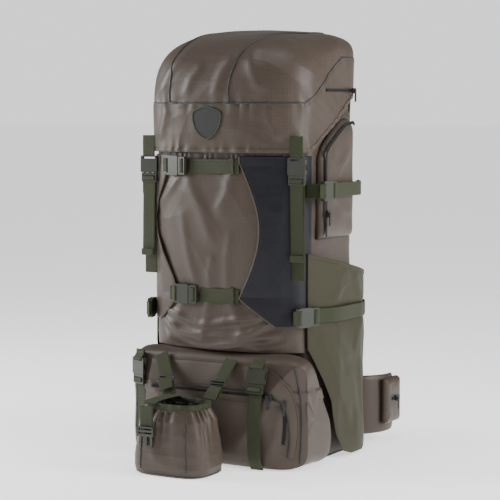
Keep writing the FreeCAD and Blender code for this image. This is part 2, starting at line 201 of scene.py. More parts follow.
def waves(a, b, seed, lo, hi, n=9):
    """Gentle unevenness: a sum of n plane sine waves in random directions, wavelengths from lo to hi."""
    r = np.random.default_rng(seed)
    out = np.zeros(np.broadcast(a, b).shape)
    for ang, wl, ph in zip(r.uniform(0, np.pi, n), r.uniform(lo, hi, n), r.uniform(0, 6.3, n)):
        out += np.sin(2 * np.pi * (a * np.cos(ang) + b * np.sin(ang)) / wl + ph)
    return out / math.sqrt(n)


def gathers(s, d, pitch, reach, seed=0.0):
    """Puckers that stand across a seam: a sine along it whose phase wanders, sharpened, dying away with
    the distance d from the seam as exp(-d/reach)."""
    ph = 2 * np.pi * s / pitch + 1.7 * np.sin(2 * np.pi * s / (pitch * 3.7) + seed)
    ph = ph + 1.1 * np.sin(s / (pitch * 1.9) + 2 * seed)
    amp = 0.65 + 0.35 * np.sin(2 * np.pi * s / (pitch * 5.3) + seed * 1.7)
    f = np.sin(ph)
    return amp * np.sign(f) * np.abs(f) ** 0.8 * np.exp(-np.maximum(d, 0) / reach)


def creases(a, b, seed, lo, hi, n=7):
    """Crisp wrinkles: ridges 1 - |sin| of plane waves whose lines wander, each shown only where a slow
    wave is high."""
    r = np.random.default_rng(seed)
    out = np.zeros(np.broadcast(a, b).shape)
    for ang, wl, ph in zip(r.uniform(0.2, 2.9, n), r.uniform(lo, hi, n), r.uniform(0, 6.3, n)):
        along_it = a * np.cos(ang) + b * np.sin(ang)
        across_it = -a * np.sin(ang) + b * np.cos(ang)
        ridge = (1 - np.abs(np.sin(np.pi * along_it / wl + ph + 1.1
                                   * np.sin(across_it / wl * 1.3 + ph)))) ** 2.2
        mask = smooth(0.5 + 0.9 * np.sin(across_it / wl * 0.9 + 2 * ph) * np.sin(along_it / wl * 0.6 + ph))
        out += ridge * mask
    return out / math.sqrt(n)


def fold(a, b, p, q, width, height):
    """One long crease from p to q: height times a bell across its line, tapering to its ends."""
    dx, dy = q[0] - p[0], q[1] - p[1]
    L = math.hypot(dx, dy)
    t = ((a - p[0]) * dx + (b - p[1]) * dy) / L ** 2
    d = ((a - p[0]) * -dy + (b - p[1]) * dx) / L
    d = d + 0.12 * width * np.sin(9 * t)
    ends = smooth((t + 0.12) / 0.3) * smooth((1.12 - t) / 0.3)
    return height * np.exp(-(d / width) ** 2) * ends


def build(name, P, wrap_u=False, wrap_v=False, flip=False, weld=False, uv=None):
    """Mesh of a grid of points, with a UV map in metres measured along the grid."""
    name = name.replace(" ", "_")
    name += "_cloth" if name in bpy.data.objects else ""
    P = np.where([False, False, True], np.maximum(P, 0.15), P)
    nu, nv = P.shape[:2]
    U, W = np.meshgrid(np.arange(nu if wrap_u else nu - 1), np.arange(nv if wrap_v else nv - 1),
                       indexing="ij")
    U, W = U.ravel(), W.ravel()
    cu = np.stack([U, U + 1, U + 1, U], 1)
    cw = np.stack([W, W, W + 1, W + 1], 1)
    if flip:
        cu, cw = cu[:, ::-1], cw[:, ::-1]
    me = bpy.data.meshes.new(name)
    faces = (cu % nu) * nv + (cw % nv)
    me.vertices.add(nu * nv)
    me.vertices.foreach_set("co", (P * MM).astype(np.float32).ravel())
    me.loops.add(faces.size)
    me.loops.foreach_set("vertex_index", faces.astype(np.int32).ravel())
    me.polygons.add(len(faces))
    me.polygons.foreach_set("loop_start", np.arange(0, faces.size, 4, dtype=np.int32))
    me.polygons.foreach_set("use_smooth", np.ones(len(faces), bool))
    me.update(calc_edges=True)
    if uv is None:
        du = np.linalg.norm(np.diff(P, axis=0, append=P[:1]), axis=-1).mean(1)
        dv = np.linalg.norm(np.diff(P, axis=1, append=P[:, :1]), axis=-1).mean(0)
        su, sv = np.concatenate([[0], np.cumsum(du)]), np.concatenate([[0], np.cumsum(dv)])
        co = np.stack([su[cu], sv[cw]], -1) * MM
    else:
        co = uv[cu % nu, cw % nv] * MM
    layer = me.uv_layers.new(name="cloth")
    layer.data.foreach_set("uv", co.astype(np.float32).ravel())
    if weld:
        bm = bmesh.new()
        bm.from_mesh(me)
        bmesh.ops.remove_doubles(bm, verts=bm.verts, dist=2e-6)
        bmesh.ops.dissolve_degenerate(bm, edges=bm.edges, dist=1e-7)
        bm.to_mesh(me)
        bm.free()
    me.validate()
    ob = bpy.data.objects.new(name, me)
    bpy.context.scene.collection.objects.link(ob)
    return ob


def face_outward(ob):
    """Turns every face of a closed piece to the outside."""
    bm = bmesh.new()
    bm.from_mesh(ob.data)
    bmesh.ops.recalc_face_normals(bm, faces=bm.faces)
    bm.to_mesh(ob.data)
    bm.free()


def thicken(ob, mm, offset=-1.0):
    """Gives a sheet of cloth its thickness, to the inside unless offset says otherwise."""
    m = ob.modifiers.new("cloth thickness", "SOLIDIFY")
    m.thickness = mm * MM
    m.offset = offset
    m.use_rim = True
    return ob


def dress(ob, mat, body, swap=()):
    """Gives a piece its material and the body that it rides on, and hides the plain solids that it stands
    for."""
    ob.data.materials.clear()
    ob.data.materials.append(material(mat))
    if body:
        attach(ob, body)
    if swap:
        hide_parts(*swap)
    return ob


def sweep(name, path, across, profile, mat, body, swap=()):
    """A closed profile carried along a path: point = path + across * profile_x + up * profile_y, where up
    is square to the path and to across; both ends are closed to the middle."""
    path, across = np.asarray(path, float), np.asarray(across, float)
    if across.ndim == 1:
        across = np.tile(across, (len(path), 1))
    t = np.gradient(path, axis=0)
    t /= np.linalg.norm(t, axis=1)[:, None]
    up = np.cross(t, across)
    up /= np.maximum(np.linalg.norm(up, axis=1)[:, None], 1e-9)
    acr = np.cross(up, t)
    P = path[:, None] + acr[:, None] * profile[None, :, :1] + up[:, None] * profile[None, :, 1:]
    P = np.concatenate([np.repeat(path[:1, None], len(profile), 1), P,
                        np.repeat(path[-1:, None], len(profile), 1)])
    ob = build(name, P, wrap_v=True, weld=True)
    face_outward(ob)
    return dress(ob, mat, body, swap)


def flat_profile(width, thick):
    """Section of a woven strap: a thin oblong with rounded edges and a faint crown."""
    a = np.linspace(0, 2 * np.pi, 20, endpoint=False)
    x = width / 2 * power(np.cos(a), 0.28)
    y = thick / 2 * power(np.sin(a), 0.55)
    return np.stack([x, y], 1)


def round_profile(r, n=10):
    """Section of a cord: a circle of radius r."""
    a = np.linspace(0, 2 * np.pi, n, endpoint=False)
    return np.stack([r * np.cos(a), r * np.sin(a)], 1)


def strap(name, pts, across, body, width=None, thick=1.7, n=90, swap=(), mat="webbing",
          dense=True):
    """Webbing: the flat section carried along a smooth line through the points, or along the points."""
    path = spline(pts, n) if dense else np.asarray(pts, float)
    return sweep(name, path, across, flat_profile(width or sizes().webbing / MM, thick), mat, body,
                 swap)


def rows(name, path, nrm, shape, pitch, mat, body, swap=()):
    """The same small block set at equal steps along a line; block axes are along, across and off the
    surface."""
    L = np.linalg.norm(np.diff(path, axis=0), axis=1).sum()
    n = max(int(L / pitch), 2)
    name = name.replace(" ", "_")
    full = np.concatenate([path, nrm], 1)
    s = np.concatenate([[0], np.cumsum(np.linalg.norm(np.diff(path, axis=0), axis=1))])
    t = (np.arange(n) + 0.5) * L / n
    at = np.stack([np.interp(t, s, full[:, k]) for k in range(6)], 1)
    p, w = at[:, :3], at[:, 3:]
    u = np.gradient(p, axis=0)
    u /= np.linalg.norm(u, axis=1)[:, None]
    w /= np.linalg.norm(w, axis=1)[:, None]
    v = np.cross(w, u)
    corner = np.array([[x, y, z] for z in (0, 1) for x, y in ((-1, -1), (1, -1), (1, 1), (-1, 1))], float)
    corner[4:, :2] *= 0.6
    lx, ly, lz, side = shape
    local = corner * np.array([lx / 2, ly / 2, lz])
    P = p[:, None] + u[:, None] * local[None, :, :1] + v[:, None] * (local[None, :, 1:2] + side)
    P = P + w[:, None] * local[None, :, 2:]
    quads = np.array([[3, 2, 1, 0], [4, 5, 6, 7], [0, 1, 5, 4], [1, 2, 6, 5], [2, 3, 7, 6], [3, 0, 4, 7]])
    faces = (quads[None] + 8 * np.arange(n)[:, None, None]).reshape(-1, 4)
    me = bpy.data.meshes.new(name)
    me.from_pydata((P.reshape(-1, 3) * MM).tolist(), [], faces.tolist())
    me.update()
    ob = bpy.data.objects.new(name, me)
    bpy.context.scene.collection.objects.link(ob)
    return dress(ob, mat, body, swap)


# ---------------------------------------------------------------- materials
def group(name, ins, outs):
    """An empty node group with its named number inputs and outputs."""
    g = bpy.data.node_groups.new(name, "ShaderNodeTree")
    for label, value in ins:
        s = g.interface.new_socket(name=label, in_out="INPUT", socket_type="NodeSocketFloat")
        s.default_value = value
    for label in outs:
        g.interface.new_socket(name=label, in_out="OUTPUT", socket_type="NodeSocketFloat")
    return g, g.nodes.new("NodeGroupInput"), g.nodes.new("NodeGroupOutput")


def add(tree, kind, **values):
    """A node in the tree, with its settings or input values."""
    n = tree.nodes.new(kind)
    for k, v in values.items():
        if hasattr(n, k):
            setattr(n, k, v)
        else:
            n.inputs[k.replace("_", " ")].default_value = v
    return n


def maths(tree, op, a, b=None, clamp=False):
    """A math node; each input is a number or another output."""
    n = tree.nodes.new("ShaderNodeMath")
    n.operation, n.use_clamp = op, clamp
    for i, v in enumerate((a, b)):
        if v is None:
            continue
        if isinstance(v, (int, float)):
            n.inputs[i].default_value = v
        else:
            tree.links.new(v, n.inputs[i])
    return n.outputs[0]


def weave_group():
    """Plain weave with a ripstop grid: two crossed sine bands for the threads, and thin lines at each grid
    step."""
    g, gi, go = group("cloth weave", [("Thread", 0.0011), ("Grid", 0.0052)], ["Height", "Grid line"])
    uv = add(g, "ShaderNodeUVMap", uv_map="cloth")
    xyz = add(g, "ShaderNodeSeparateXYZ")
    g.links.new(uv.outputs[0], xyz.inputs[0])
    bands, lines = [], []
    for k in range(2):
        turn = maths(g, "MULTIPLY", maths(g, "DIVIDE", xyz.outputs[k], gi.outputs["Thread"]), FULL_TURN)
        bands.append(maths(g, "SINE", turn))
        step = maths(g, "FRACT", maths(g, "DIVIDE", xyz.outputs[k], gi.outputs["Grid"]))
        edge = maths(g, "ABSOLUTE", maths(g, "SUBTRACT", step, 0.5))
        lines.append(maths(g, "MULTIPLY", maths(g, "SUBTRACT", edge, 0.41), 11.0, clamp=True))
    both = maths(g, "MAXIMUM", lines[0], lines[1])
    thread = maths(g, "MULTIPLY", bands[0], bands[1])
    g.links.new(maths(g, "ADD", maths(g, "MULTIPLY", thread, 0.35), both), go.inputs[0])
    g.links.new(both, go.inputs[1])
    return g


def webbing_group():
    """Woven strap: fine ribs across its length, offset by row into a herringbone."""
    g, gi, go = group("strap weave", [("Rib", 0.0019)], ["Height", "Shade"])
    uv = add(g, "ShaderNodeUVMap", uv_map="cloth")
    xyz = add(g, "ShaderNodeSeparateXYZ")
    g.links.new(uv.outputs[0], xyz.inputs[0])
    zig = maths(g, "ABSOLUTE", maths(g, "SUBTRACT",
                                     maths(g, "FRACT", maths(g, "DIVIDE", xyz.outputs[1], 0.004)), 0.5))
    along = maths(g, "ADD", maths(g, "DIVIDE", xyz.outputs[0], gi.outputs["Rib"]),
                  maths(g, "MULTIPLY", zig, 1.6))
    rib = maths(g, "SINE", maths(g, "MULTIPLY", along, FULL_TURN))
    g.links.new(rib, go.inputs[0])
    g.links.new(maths(g, "ADD", maths(g, "MULTIPLY", rib, 0.5), 0.5), go.inputs[1])
    return g


def wear_group():
    """Slow blotches and fine specks of shade from two noises on the piece's own coordinates."""
    g, gi, go = group("uneven shade", [("Size", 14.0), ("Speck", 900.0)], ["Blotch", "Speck"])
    co = add(g, "ShaderNodeTexCoord")
    for k, label in enumerate(("Size", "Speck")):
        no = add(g, "ShaderNodeTexNoise", Detail=4.0, Roughness=0.55)
        g.links.new(co.outputs["Object"], no.inputs["Vector"])
        g.links.new(gi.outputs[label], no.inputs["Scale"])
        g.links.new(no.outputs["Fac"], go.inputs[k])
    return g


GROUPS = {}
RECIPES = {
    # name: colour, roughness, weave kind, bump, sheen, contrast
    "pack_cloth": ("cloth", 0.43, "cloth", 0.16, 0.02, 0.22),
    "navy_cloth": ("navy", 0.50, "cloth", 0.20, 0.02, 0.25),
    "stretch_cloth": ("stretch", 0.60, "cloth", 0.20, 0.08, 0.20),
    "webbing": ("webbing", 0.62, "strap", 0.60, 0.04, 0.55),
    "black_tape": ("black", 0.75, "strap", 0.30, 0.10, 0.30),
    "mesh_pad": ("mesh", 0.80, "mesh", 0.80, 0.20, 0.40),
    "buckle": ("plastic", 0.34, "plastic", 0.10, 0.0, 0.16),
    "cord_black": ("black", 0.48, "plastic", 0.20, 0.05, 0.20),
    "patch": ("black", 0.66, "plastic", 0.35, 0.10, 0.25),
    "thread": ("webbing", 0.6, "plastic", 0.1, 0.1, 0.2),
    "stay": ("plastic", 0.3, "plastic", 0.05, 0.0, 0.1),
    "sheet": ("black", 0.5, "plastic", 0.1, 0.0, 0.1),
}
MADE = {}


def place_group(tree, key, maker):
    """One use of a node group, which is made the first time it is asked for."""
    if key not in GROUPS:
        GROUPS[key] = maker()
    n = tree.nodes.new("ShaderNodeGroup")
    n.node_tree = GROUPS[key]
    return n


def material(name):
    """The finish of a name in RECIPES: two tones of its colour mixed by blotches, specks and weave, with
    a bump of the same pattern."""
    if name in MADE:
        return MADE[name]
    tone, rough, kind, bump, sheen, contrast = RECIPES[name]
    base = tuple(getattr(shades(), tone)) if name != "stay" else (0.62, 0.62, 0.63)
    m = bpy.data.materials.new(name)
    m.use_nodes = True
    t = m.node_tree
    b = t.nodes["Principled BSDF"]
    b.inputs["Sheen Weight"].default_value = sheen
    b.inputs["Sheen Roughness"].default_value = 0.45
    b.inputs["Specular IOR Level"].default_value = 0.5 if kind == "plastic" else 0.32
    if name == "stay":
        b.inputs["Metallic"].default_value = 1.0
    shade = place_group(t, "shade", wear_group)
    shade.inputs["Size"].default_value = 9.0 if kind in ("cloth", "mesh") else 30.0
    mix = t.nodes.new("ShaderNodeMix")
    mix.data_type = "RGBA"
    mix.inputs[6].default_value = (*[c * (1 - contrast) for c in base], 1)
    mix.inputs[7].default_value = (*[min(c * (1 + contrast), 1) for c in base], 1)
    grain = maths(t, "ADD", maths(t, "MULTIPLY", shade.outputs["Blotch"], 0.6),
                  maths(t, "MULTIPLY", shade.outputs["Speck"], 0.4))
    height = shade.outputs["Speck"]
    if kind == "cloth":
        w = place_group(t, "weave", weave_group)
        w.inputs["Grid"].default_value = sizes().ripstop if name != "stretch_cloth" else 0.0026
        grain = maths(t, "ADD", grain, maths(t, "MULTIPLY", w.outputs["Grid line"], 0.45))
        height = w.outputs["Height"]
    elif kind == "strap":
        w = place_group(t, "strap", webbing_group)
        grain = maths(t, "ADD", maths(t, "MULTIPLY", grain, 0.6),
                      maths(t, "MULTIPLY", w.outputs["Shade"], 0.35))
        height = w.outputs["Height"]
    elif kind == "mesh":
        co = add(t, "ShaderNodeTexCoord")
        vo = add(t, "ShaderNodeTexVoronoi", Scale=330.0)
        t.links.new(co.outputs["Object"], vo.inputs["Vector"])
        height = maths(t, "MULTIPLY", vo.outputs["Distance"], 1.6)
        grain = maths(t, "ADD", maths(t, "MULTIPLY", grain, 0.5),
                      maths(t, "MULTIPLY", vo.outputs["Distance"], 0.9))
    t.links.new(grain, mix.inputs[0])
    t.links.new(mix.outputs[2], b.inputs["Base Color"])
    rough_out = maths(t, "ADD", maths(t, "MULTIPLY", shade.outputs["Blotch"], 0.16), rough - 0.08)
    t.links.new(rough_out, b.inputs["Roughness"])
    bp = add(t, "ShaderNodeBump", Strength=bump, Distance=0.0004)
    t.links.new(height, bp.inputs["Height"])
    t.links.new(bp.outputs[0], b.inputs["Normal"])
    MADE[name] = m
    return m


# ---------------------------------------------------------------- buckle places (millimetres)
PLACES = {
    "side_upper": ((175.2, -60.0, 473.0), (0, 1, 0), (1, 0, 0)),
    "side_lower": ((155.9, -92.4, 258.0), (0.346, 0.938, 0), (0.938, -0.346, 0)),
    "front_upper": ((-72.8, -138.4, 514.0), (0.963, -0.27, 0), (-0.27, -0.963, 0)),
    "front_lower": ((-52.0, -140.5, 291.0), (0.9975, -0.071, 0), (-0.071, -0.9975, 0)),
    "base_right": ((98.0, -169.0, 147.5), (0, -0.27, -0.963), (0, -0.963, 0.27)),
    "base_left": ((-149.4, -149.0, 144.0), (0, 0, -1), (-0.386, -0.923, 0)),
    "lid": ((148.5, -117.0, 500.0), (0, 0, -1), (0, -1, 0)),
    "pouch": ((-41.5, -293.2, 66.5), (0, 0, 1), (0, -1, 0)),
}


def at(place, local, flip=False):
    """Points given as along, across, off the surface, in the bag's own millimetres."""
    o, u, w = (np.array(v, float) for v in PLACES[place])
    u, w = u / np.linalg.norm(u), w / np.linalg.norm(w)
    v = np.cross(w, u)
    p = o + np.asarray(local, float) @ np.stack([u, v, w])
    if flip:
        p = p * np.array([-1, 1, 1])
        v = v * np.array([-1, 1, 1])
    return p, v


def plug_loop(name, place, body, flip=False):
    """Webbing wound over the plug's middle bar, seen between its two slots."""
    line = [(3, 0, 2.3), (5.6, 0, 3.2), (6.6, 0, 8.4), (9.6, 0, 9.4), (12.6, 0, 8.4), (13.4, 0, 3.2),
            (16.5, 0, 2.3)]
    p, v = at(place, line, flip)
    return strap(name, p, v, body, width=24, n=36)


def tab_loop(name, place, body, flip=False, far=-44.0, lift=1.6):
    """Webbing that comes from the bag, turns round the bar of the socket and goes back under itself."""
    line = [(far, 0, lift), (-36, 0, lift), (-30.5, 0, lift + 0.8), (-27.2, 0, 4.6), (-26.2, 0, 9.2),
            (-28.6, 0, 9.9),
            (-32, 0, 7.0), (-37, 0, lift + 2.4), (far, 0, lift + 2.0)]
    p, v = at(place, line, flip)
    return strap(name, p, v, body, width=24, n=50)


# ---------------------------------------------------------------- shared forms
def skin(name, P, mat, body="bag", swap=(), thick=0.0, centre=(0, 0, 300), relief=None, wrap_u=False,
         wrap_v=False, weld=False):
    """A cloth surface: every point moves along its own outward normal by relief, then the cloth gets its
    thickness on the inside. Outward is the side that faces away from centre."""
    n = normals(P, wrap_u, wrap_v)
    side = 1.0 if (n * (P - np.array(centre, float))).sum(-1).mean() > 0 else -1.0
    if relief is not None:
        P = P + n * (side * sizes().wrinkle * relief)[..., None]
    ob = build(name, P, wrap_u, wrap_v, flip=side < 0, weld=weld)
    if thick:
        thicken(ob, thick)
    dress(ob, mat, body, swap)
    return P, n * side


def pillow(name, outline, low, high, place, mat, body, swap=(), edge=6.0, nr=34, nt=260,
           relief=None):
    """A closed crowned form over a flat outline: height = high * sqrt(1 - r^edge) in front and low * the
    same behind, where r runs from 0 at the middle to 1 on the outline; place bends it to its spot."""
    o = softened(outline, nt)
    mid = (o.max(0) + o.min(0)) / 2
    r = np.linspace(0, 1, nr) ** 0.6
    rho = np.concatenate([r, r[::-1][1:]])
    face = np.concatenate([np.full(nr, high), np.full(nr - 1, low)])
    c = (face * np.sqrt(np.maximum(1 - rho ** edge, 0)))[:, None] * np.ones(nt)
    ab = mid + (o - mid)[None] * rho[:, None, None]
    if relief is not None:
        front = (np.arange(len(rho)) < nr)[:, None]
        c = c + np.where(front, relief(ab[..., 0], ab[..., 1]) * (1 - rho[:, None] ** 8),
                         0) * sizes().wrinkle
    P = place(ab[..., 0], ab[..., 1], c)
    ob = build(name, P, wrap_v=True, weld=True)
    face_outward(ob)
    return dress(ob, mat, body, swap)


def along(points, flip=False):
    """A bent line in a plane as a function: distance along it and distance off it give the two
    coordinates."""
    line = even(spline(points, 500), 500)
    s = np.concatenate([[0], np.cumsum(np.linalg.norm(np.diff(line, axis=0), axis=1))])
    t = np.gradient(line, axis=0)
    t /= np.linalg.norm(t, axis=1)[:, None]
    nrm = np.stack([t[:, 1], -t[:, 0]], 1) * (-1 if flip else 1)

    def point(a, c):
        p = [np.interp(a, s, line[:, k]) + c * np.interp(a, s, nrm[:, k]) for k in (0, 1)]
        return p[0], p[1]
    return point, s[-1]


def snap(path, P, N, lift=0.6):
    """The path laid on a surface: each point goes to its nearest surface point, then out by lift, and the
    line is evened by averaging neighbours."""
    Q, M = P.reshape(-1, 3), N.reshape(-1, 3)
    out = []
    for q in path:
        out.append(int(((Q - q) ** 2).sum(1).argmin()))
    line = Q[out] + M[out] * lift
    for _ in range(5):
        line[1:-1] = (line[:-2] + 2 * line[1:-1] + line[2:]) / 4
    return line, M[out]


def piping(name, pts, P, N, body, r=1.2, lift=0.5, mat="cord_black", n=110):
    """A round cord sewn on a surface, along the line through the points."""
    line, nrm = snap(spline(pts, n), P, N, lift)
    return sweep(name, line, nrm, round_profile(r, 8), mat, body)


def stitches(name, line, nrm, body):
    """A seam's thread: the small STITCH block at every stitch step along the line."""
    return rows(name, line, nrm, STITCH, sizes().stitch / MM, "thread", body)


def zip_line(name, path, nrm, body, swap=(), width=6.0):
    """A zip: flat tape along the path, with two close rows of teeth standing on its middle."""
    t = np.gradient(path, axis=0)
    acr = np.cross(nrm, t)
    acr /= np.linalg.norm(acr, axis=1)[:, None]
    sweep(name + " tape", path, acr, flat_profile(width, 0.8), "black_tape", body, swap)
    for k in (-1, 1):
        rows(name + (" teeth a" if k < 0 else " teeth b"), path + nrm * 0.3, nrm, (0.9, 1.5, 0.8, 0.7 * k),
             1.5,
             "cord_black", body)


# ---------------------------------------------------------------- the bag's front
LINE, LINE_N = bow(600)


def bulge(x, z):
    """How far the stuffed front stands out: a half sine between the two strap levels, a smaller one below,
    both dying away to the sides."""
    up = np.sin(np.pi * np.clip((z - LOW_STRAP) / (HIGH_STRAP - LOW_STRAP), 0, 1)) ** 0.8 * 8.0
    low = np.sin(np.pi * np.clip((LOW_STRAP - z) / 93, 0, 1)) ** 0.9 * 4.0
    return (up + low) * (1 - np.minimum(np.abs(x) / BODY_HALF, 1) ** 3)


def front(x, z, off):
    """A point on the front at that x and height, off the surface by off plus the bulge."""
    g = bulge(x, z) + off
    y = np.interp(x, LINE[:, 0], LINE[:, 1])
    nx, ny = np.interp(x, LINE[:, 0], LINE_N[:, 0]), np.interp(x, LINE[:, 0], LINE_N[:, 1])
    return np.stack([x + nx * g, y + ny * g, z + 0 * x], -1)


def front_xs(lo, hi, n):
    """Even steps along the bowed line from one x to another, so the sides get their share of points."""
    arc = np.linspace(0, 1, len(LINE))
    ends = np.interp([lo, hi], LINE[:, 0], arc)
    return np.interp(np.linspace(*ends, n), arc, LINE[:, 0])


def inner_edge(side, z):
    """Inner edge of a wing at each height: a half sine on the right, a line through points on the left."""
    if side > 0:
        top = 47 + 37 * np.sin(np.pi * np.clip((z - 288) / 233, 0, 1))
        return np.where(z < 288, 47 + (288 - z) * 65 / 48, top)
    return -np.interp(z, [240, 262, 288, 320, 350, 390, 424, 455, 480, 530],
                      [122, 98, 76, 88, 104, 128, 136, 127, 112, 92])


def front_folds(x, z):
    """Folds of the front: uneven waves and creases, single folds, four sagging arcs under the low strap,
    and puckers by the top; all are pressed flat at the two straps."""
    r = 0.9 * waves(x, z, 4, 90, 200) + 1.3 * creases(x, z, 9, 60, 120)
    for p, q, w, h in (((-62, 505), (0, 380), 13, 3.0), ((-40, 300), (-70, 430), 10, 2.4),
                       ((20, 296), (30, 400), 9, 2.2),
                       ((-15, 298), (-5, 360), 8, 2.0), ((36, 508), (10, 430), 12, 2.6),
                       ((-10, 286), (-30, 205), 10, 2.2),
                       ((30, 286), (60, 210), 11, 2.4), ((-60, 284), (-105, 210), 12, 2.4),
                       ((-128, 300), (-140, 420), 8, 2.6), ((-70, 498), (-128, 440), 8, 2.4)):
        r = r + fold(x, z, p, q, w, h)
    for k, (level, dip, width, height) in enumerate(((272, 30, 6.5, 4.2), (254, 34, 7.5, 5.0),
                                                     (234, 26, 8, 5.0), (213, 12, 7, 4.0))):
        mid = -14 + 9 * k
        arc = level - dip * (1 - ((x - mid) / 125) ** 2) + 3 * np.sin(x / 19 + 2 * k)
        reach = smooth((125 - np.abs(x - mid)) / 40)
        r = r + height * reach * np.exp(-((z - arc) / width) ** 2) * (z < 288)
    pinch = np.exp(-((z - LOW_STRAP) / 7) ** 2) + np.exp(-((z - HIGH_STRAP) / 7) ** 2)
    return r * (1 - 0.8 * pinch) + 0.8 * gathers(x, np.abs(z - 534), 13, 12, 2)


def make_front():
    """Front pocket and wings: grids over width and height laid on the bowed front, moved out by their
    folds."""
    xs, zs = front_xs(-149.5, 149.5, 330), np.linspace(196, 538, 300)
    X, Z = np.meshgrid(xs, zs, indexing="ij")
    r = front_folds(X, Z)
    skin("front pocket", front(X, Z, 0), "pack_cloth", swap=("front_pocket",), thick=2.0,
         centre=(0, 0, 350), relief=np.clip(r, -2.0, 7.0) - 1.2)
    for side, name, mat, node in ((1, "right wing", "navy_cloth", "right_wing"),
                                  (-1, "left wing", "pack_cloth", "left_wing")):
        z = np.linspace(242, 532, 240)
        e = inner_edge(side, z)
        arc = np.linspace(0, 1, len(LINE))
        a0 = np.interp(e, LINE[:, 0], arc)
        a1 = 1.0 if side > 0 else 0.0
        t = np.linspace(0, 1, 120)
        XW = np.interp(a0[:, None] * (1 - t) + a1 * t, arc, LINE[:, 0])
        ZW = z[:, None] + 0 * t
        q = 0.6 * waves(XW, ZW, 21 + side, 60, 150) + 0.9 * creases(XW, ZW, 25 + side, 45, 90)
        q = q + 0.5 * gathers(ZW, (1 - t)[None] * 60 + 0 * XW, 17, 20, 3)
        G = front(XW, ZW, 3.4)
        fade = smooth((128 - np.abs(XW)) / 16)
        tuck = 0.9 * smooth((np.abs(XW) - 118) / 12)
        PW, NW = skin(name, G, mat, swap=(node,), thick=1.8, centre=(0, 0, 350),
                      relief=np.clip(q, -0.6, 2.0) * fade - tuck)
        edge, en = PW[:, 0], NW[:, 0]
        sweep(name + " edge binding", edge, en, round_profile(1.3, 8), "pack_cloth", "bag")
        stitches(name + " stitching", PW[:, 5], NW[:, 5], "bag")


# ---------------------------------------------------------------- shell, base and lower compartment
def make_shell():
    """Main tube: one plan outline repeated over the height, drawn in at the collar, whose back rises; the
    base is the same outline shrunk and stepped."""
    z = np.concatenate([np.linspace(5, BODY_TOP, 170), np.linspace(603, 617, 10)])
    o = ring(BODY_HALF, -90, 92, 1, 420, front=(8, 8), back=(9, 9))
    neck = np.where(z > BODY_TOP, 0.985, 1.0)
    P = np.stack([o[None, :, 0] * neck[:, None],
                  o[None, :, 1] * neck[:, None] - (z[:, None] > BODY_TOP) * 3.0,
                  z[:, None] + 0 * o[None, :, 0]], -1)
    rise = 1 + np.clip((P[..., 1] - 5) * 0.4, 0, 29) / 17
    P[..., 2] = np.where(P[..., 2] > BODY_TOP, BODY_TOP + (P[..., 2] - BODY_TOP) * rise, P[..., 2])
    a = np.linspace(0, 660, 420)[None] + 0 * z[:, None]
    r = 0.9 * waves(a, z[:, None], 31, 60, 160) + 1.1 * creases(a, z[:, None], 33, 60, 120)
    r = r + 1.2 * gathers(a, np.abs(z[:, None] - 606), 15, 14, 1)
    side = smooth((np.abs(P[..., 0]) - 120) / 25) * (P[..., 1] < 80)
    skin("bag shell", P, "pack_cloth", swap=("main_shell", "collar"), thick=2.4, wrap_v=True,
         relief=np.clip(r, -1.5, 2.5) * side)
    k = np.array([0, 0.5, 0.96, 1, 1, 0.985, 0.5, 0])
    h = np.array([5.2, 5.2, 5.2, 4.6, 1.2, 0.2, 0.2, 0.2])
    B = np.stack([o[None, :, 0] * k[:, None], 1 + (o[None, :, 1] - 1) * k[:, None],
                  h[:, None] + 0 * o[None, :, 0]], -1)
    skin("base pan", B, "pack_cloth", swap=("base_panel",), wrap_v=True, weld=True,
         centre=(0, 1, 2.6))


LOW = [(-30, 60), (-40, 2), (-100, 0.6), (-158, 1.5), (-173, 22), (-176.5, 62), (-167, 122), (-153, 170),
       (-142, 190),
       (-112, 195), (-80, 160)]


def low_plan(x):
    """Front line of the lower compartment in plan: it draws back with the cube of the distance off the
    middle."""
    return -178 + 38 * (np.abs(x) / 166) ** 3


def low_y(x, z):
    """Front of the lower compartment at that x and height, where a fuller plan line cuts the side profile."""
    prof = np.interp(z, [0, 8, 22, 62, 122, 172, 192], [-158, -166, -173, -176.5, -167, -152.5, -145])
    return np.maximum(prof, low_plan(x))


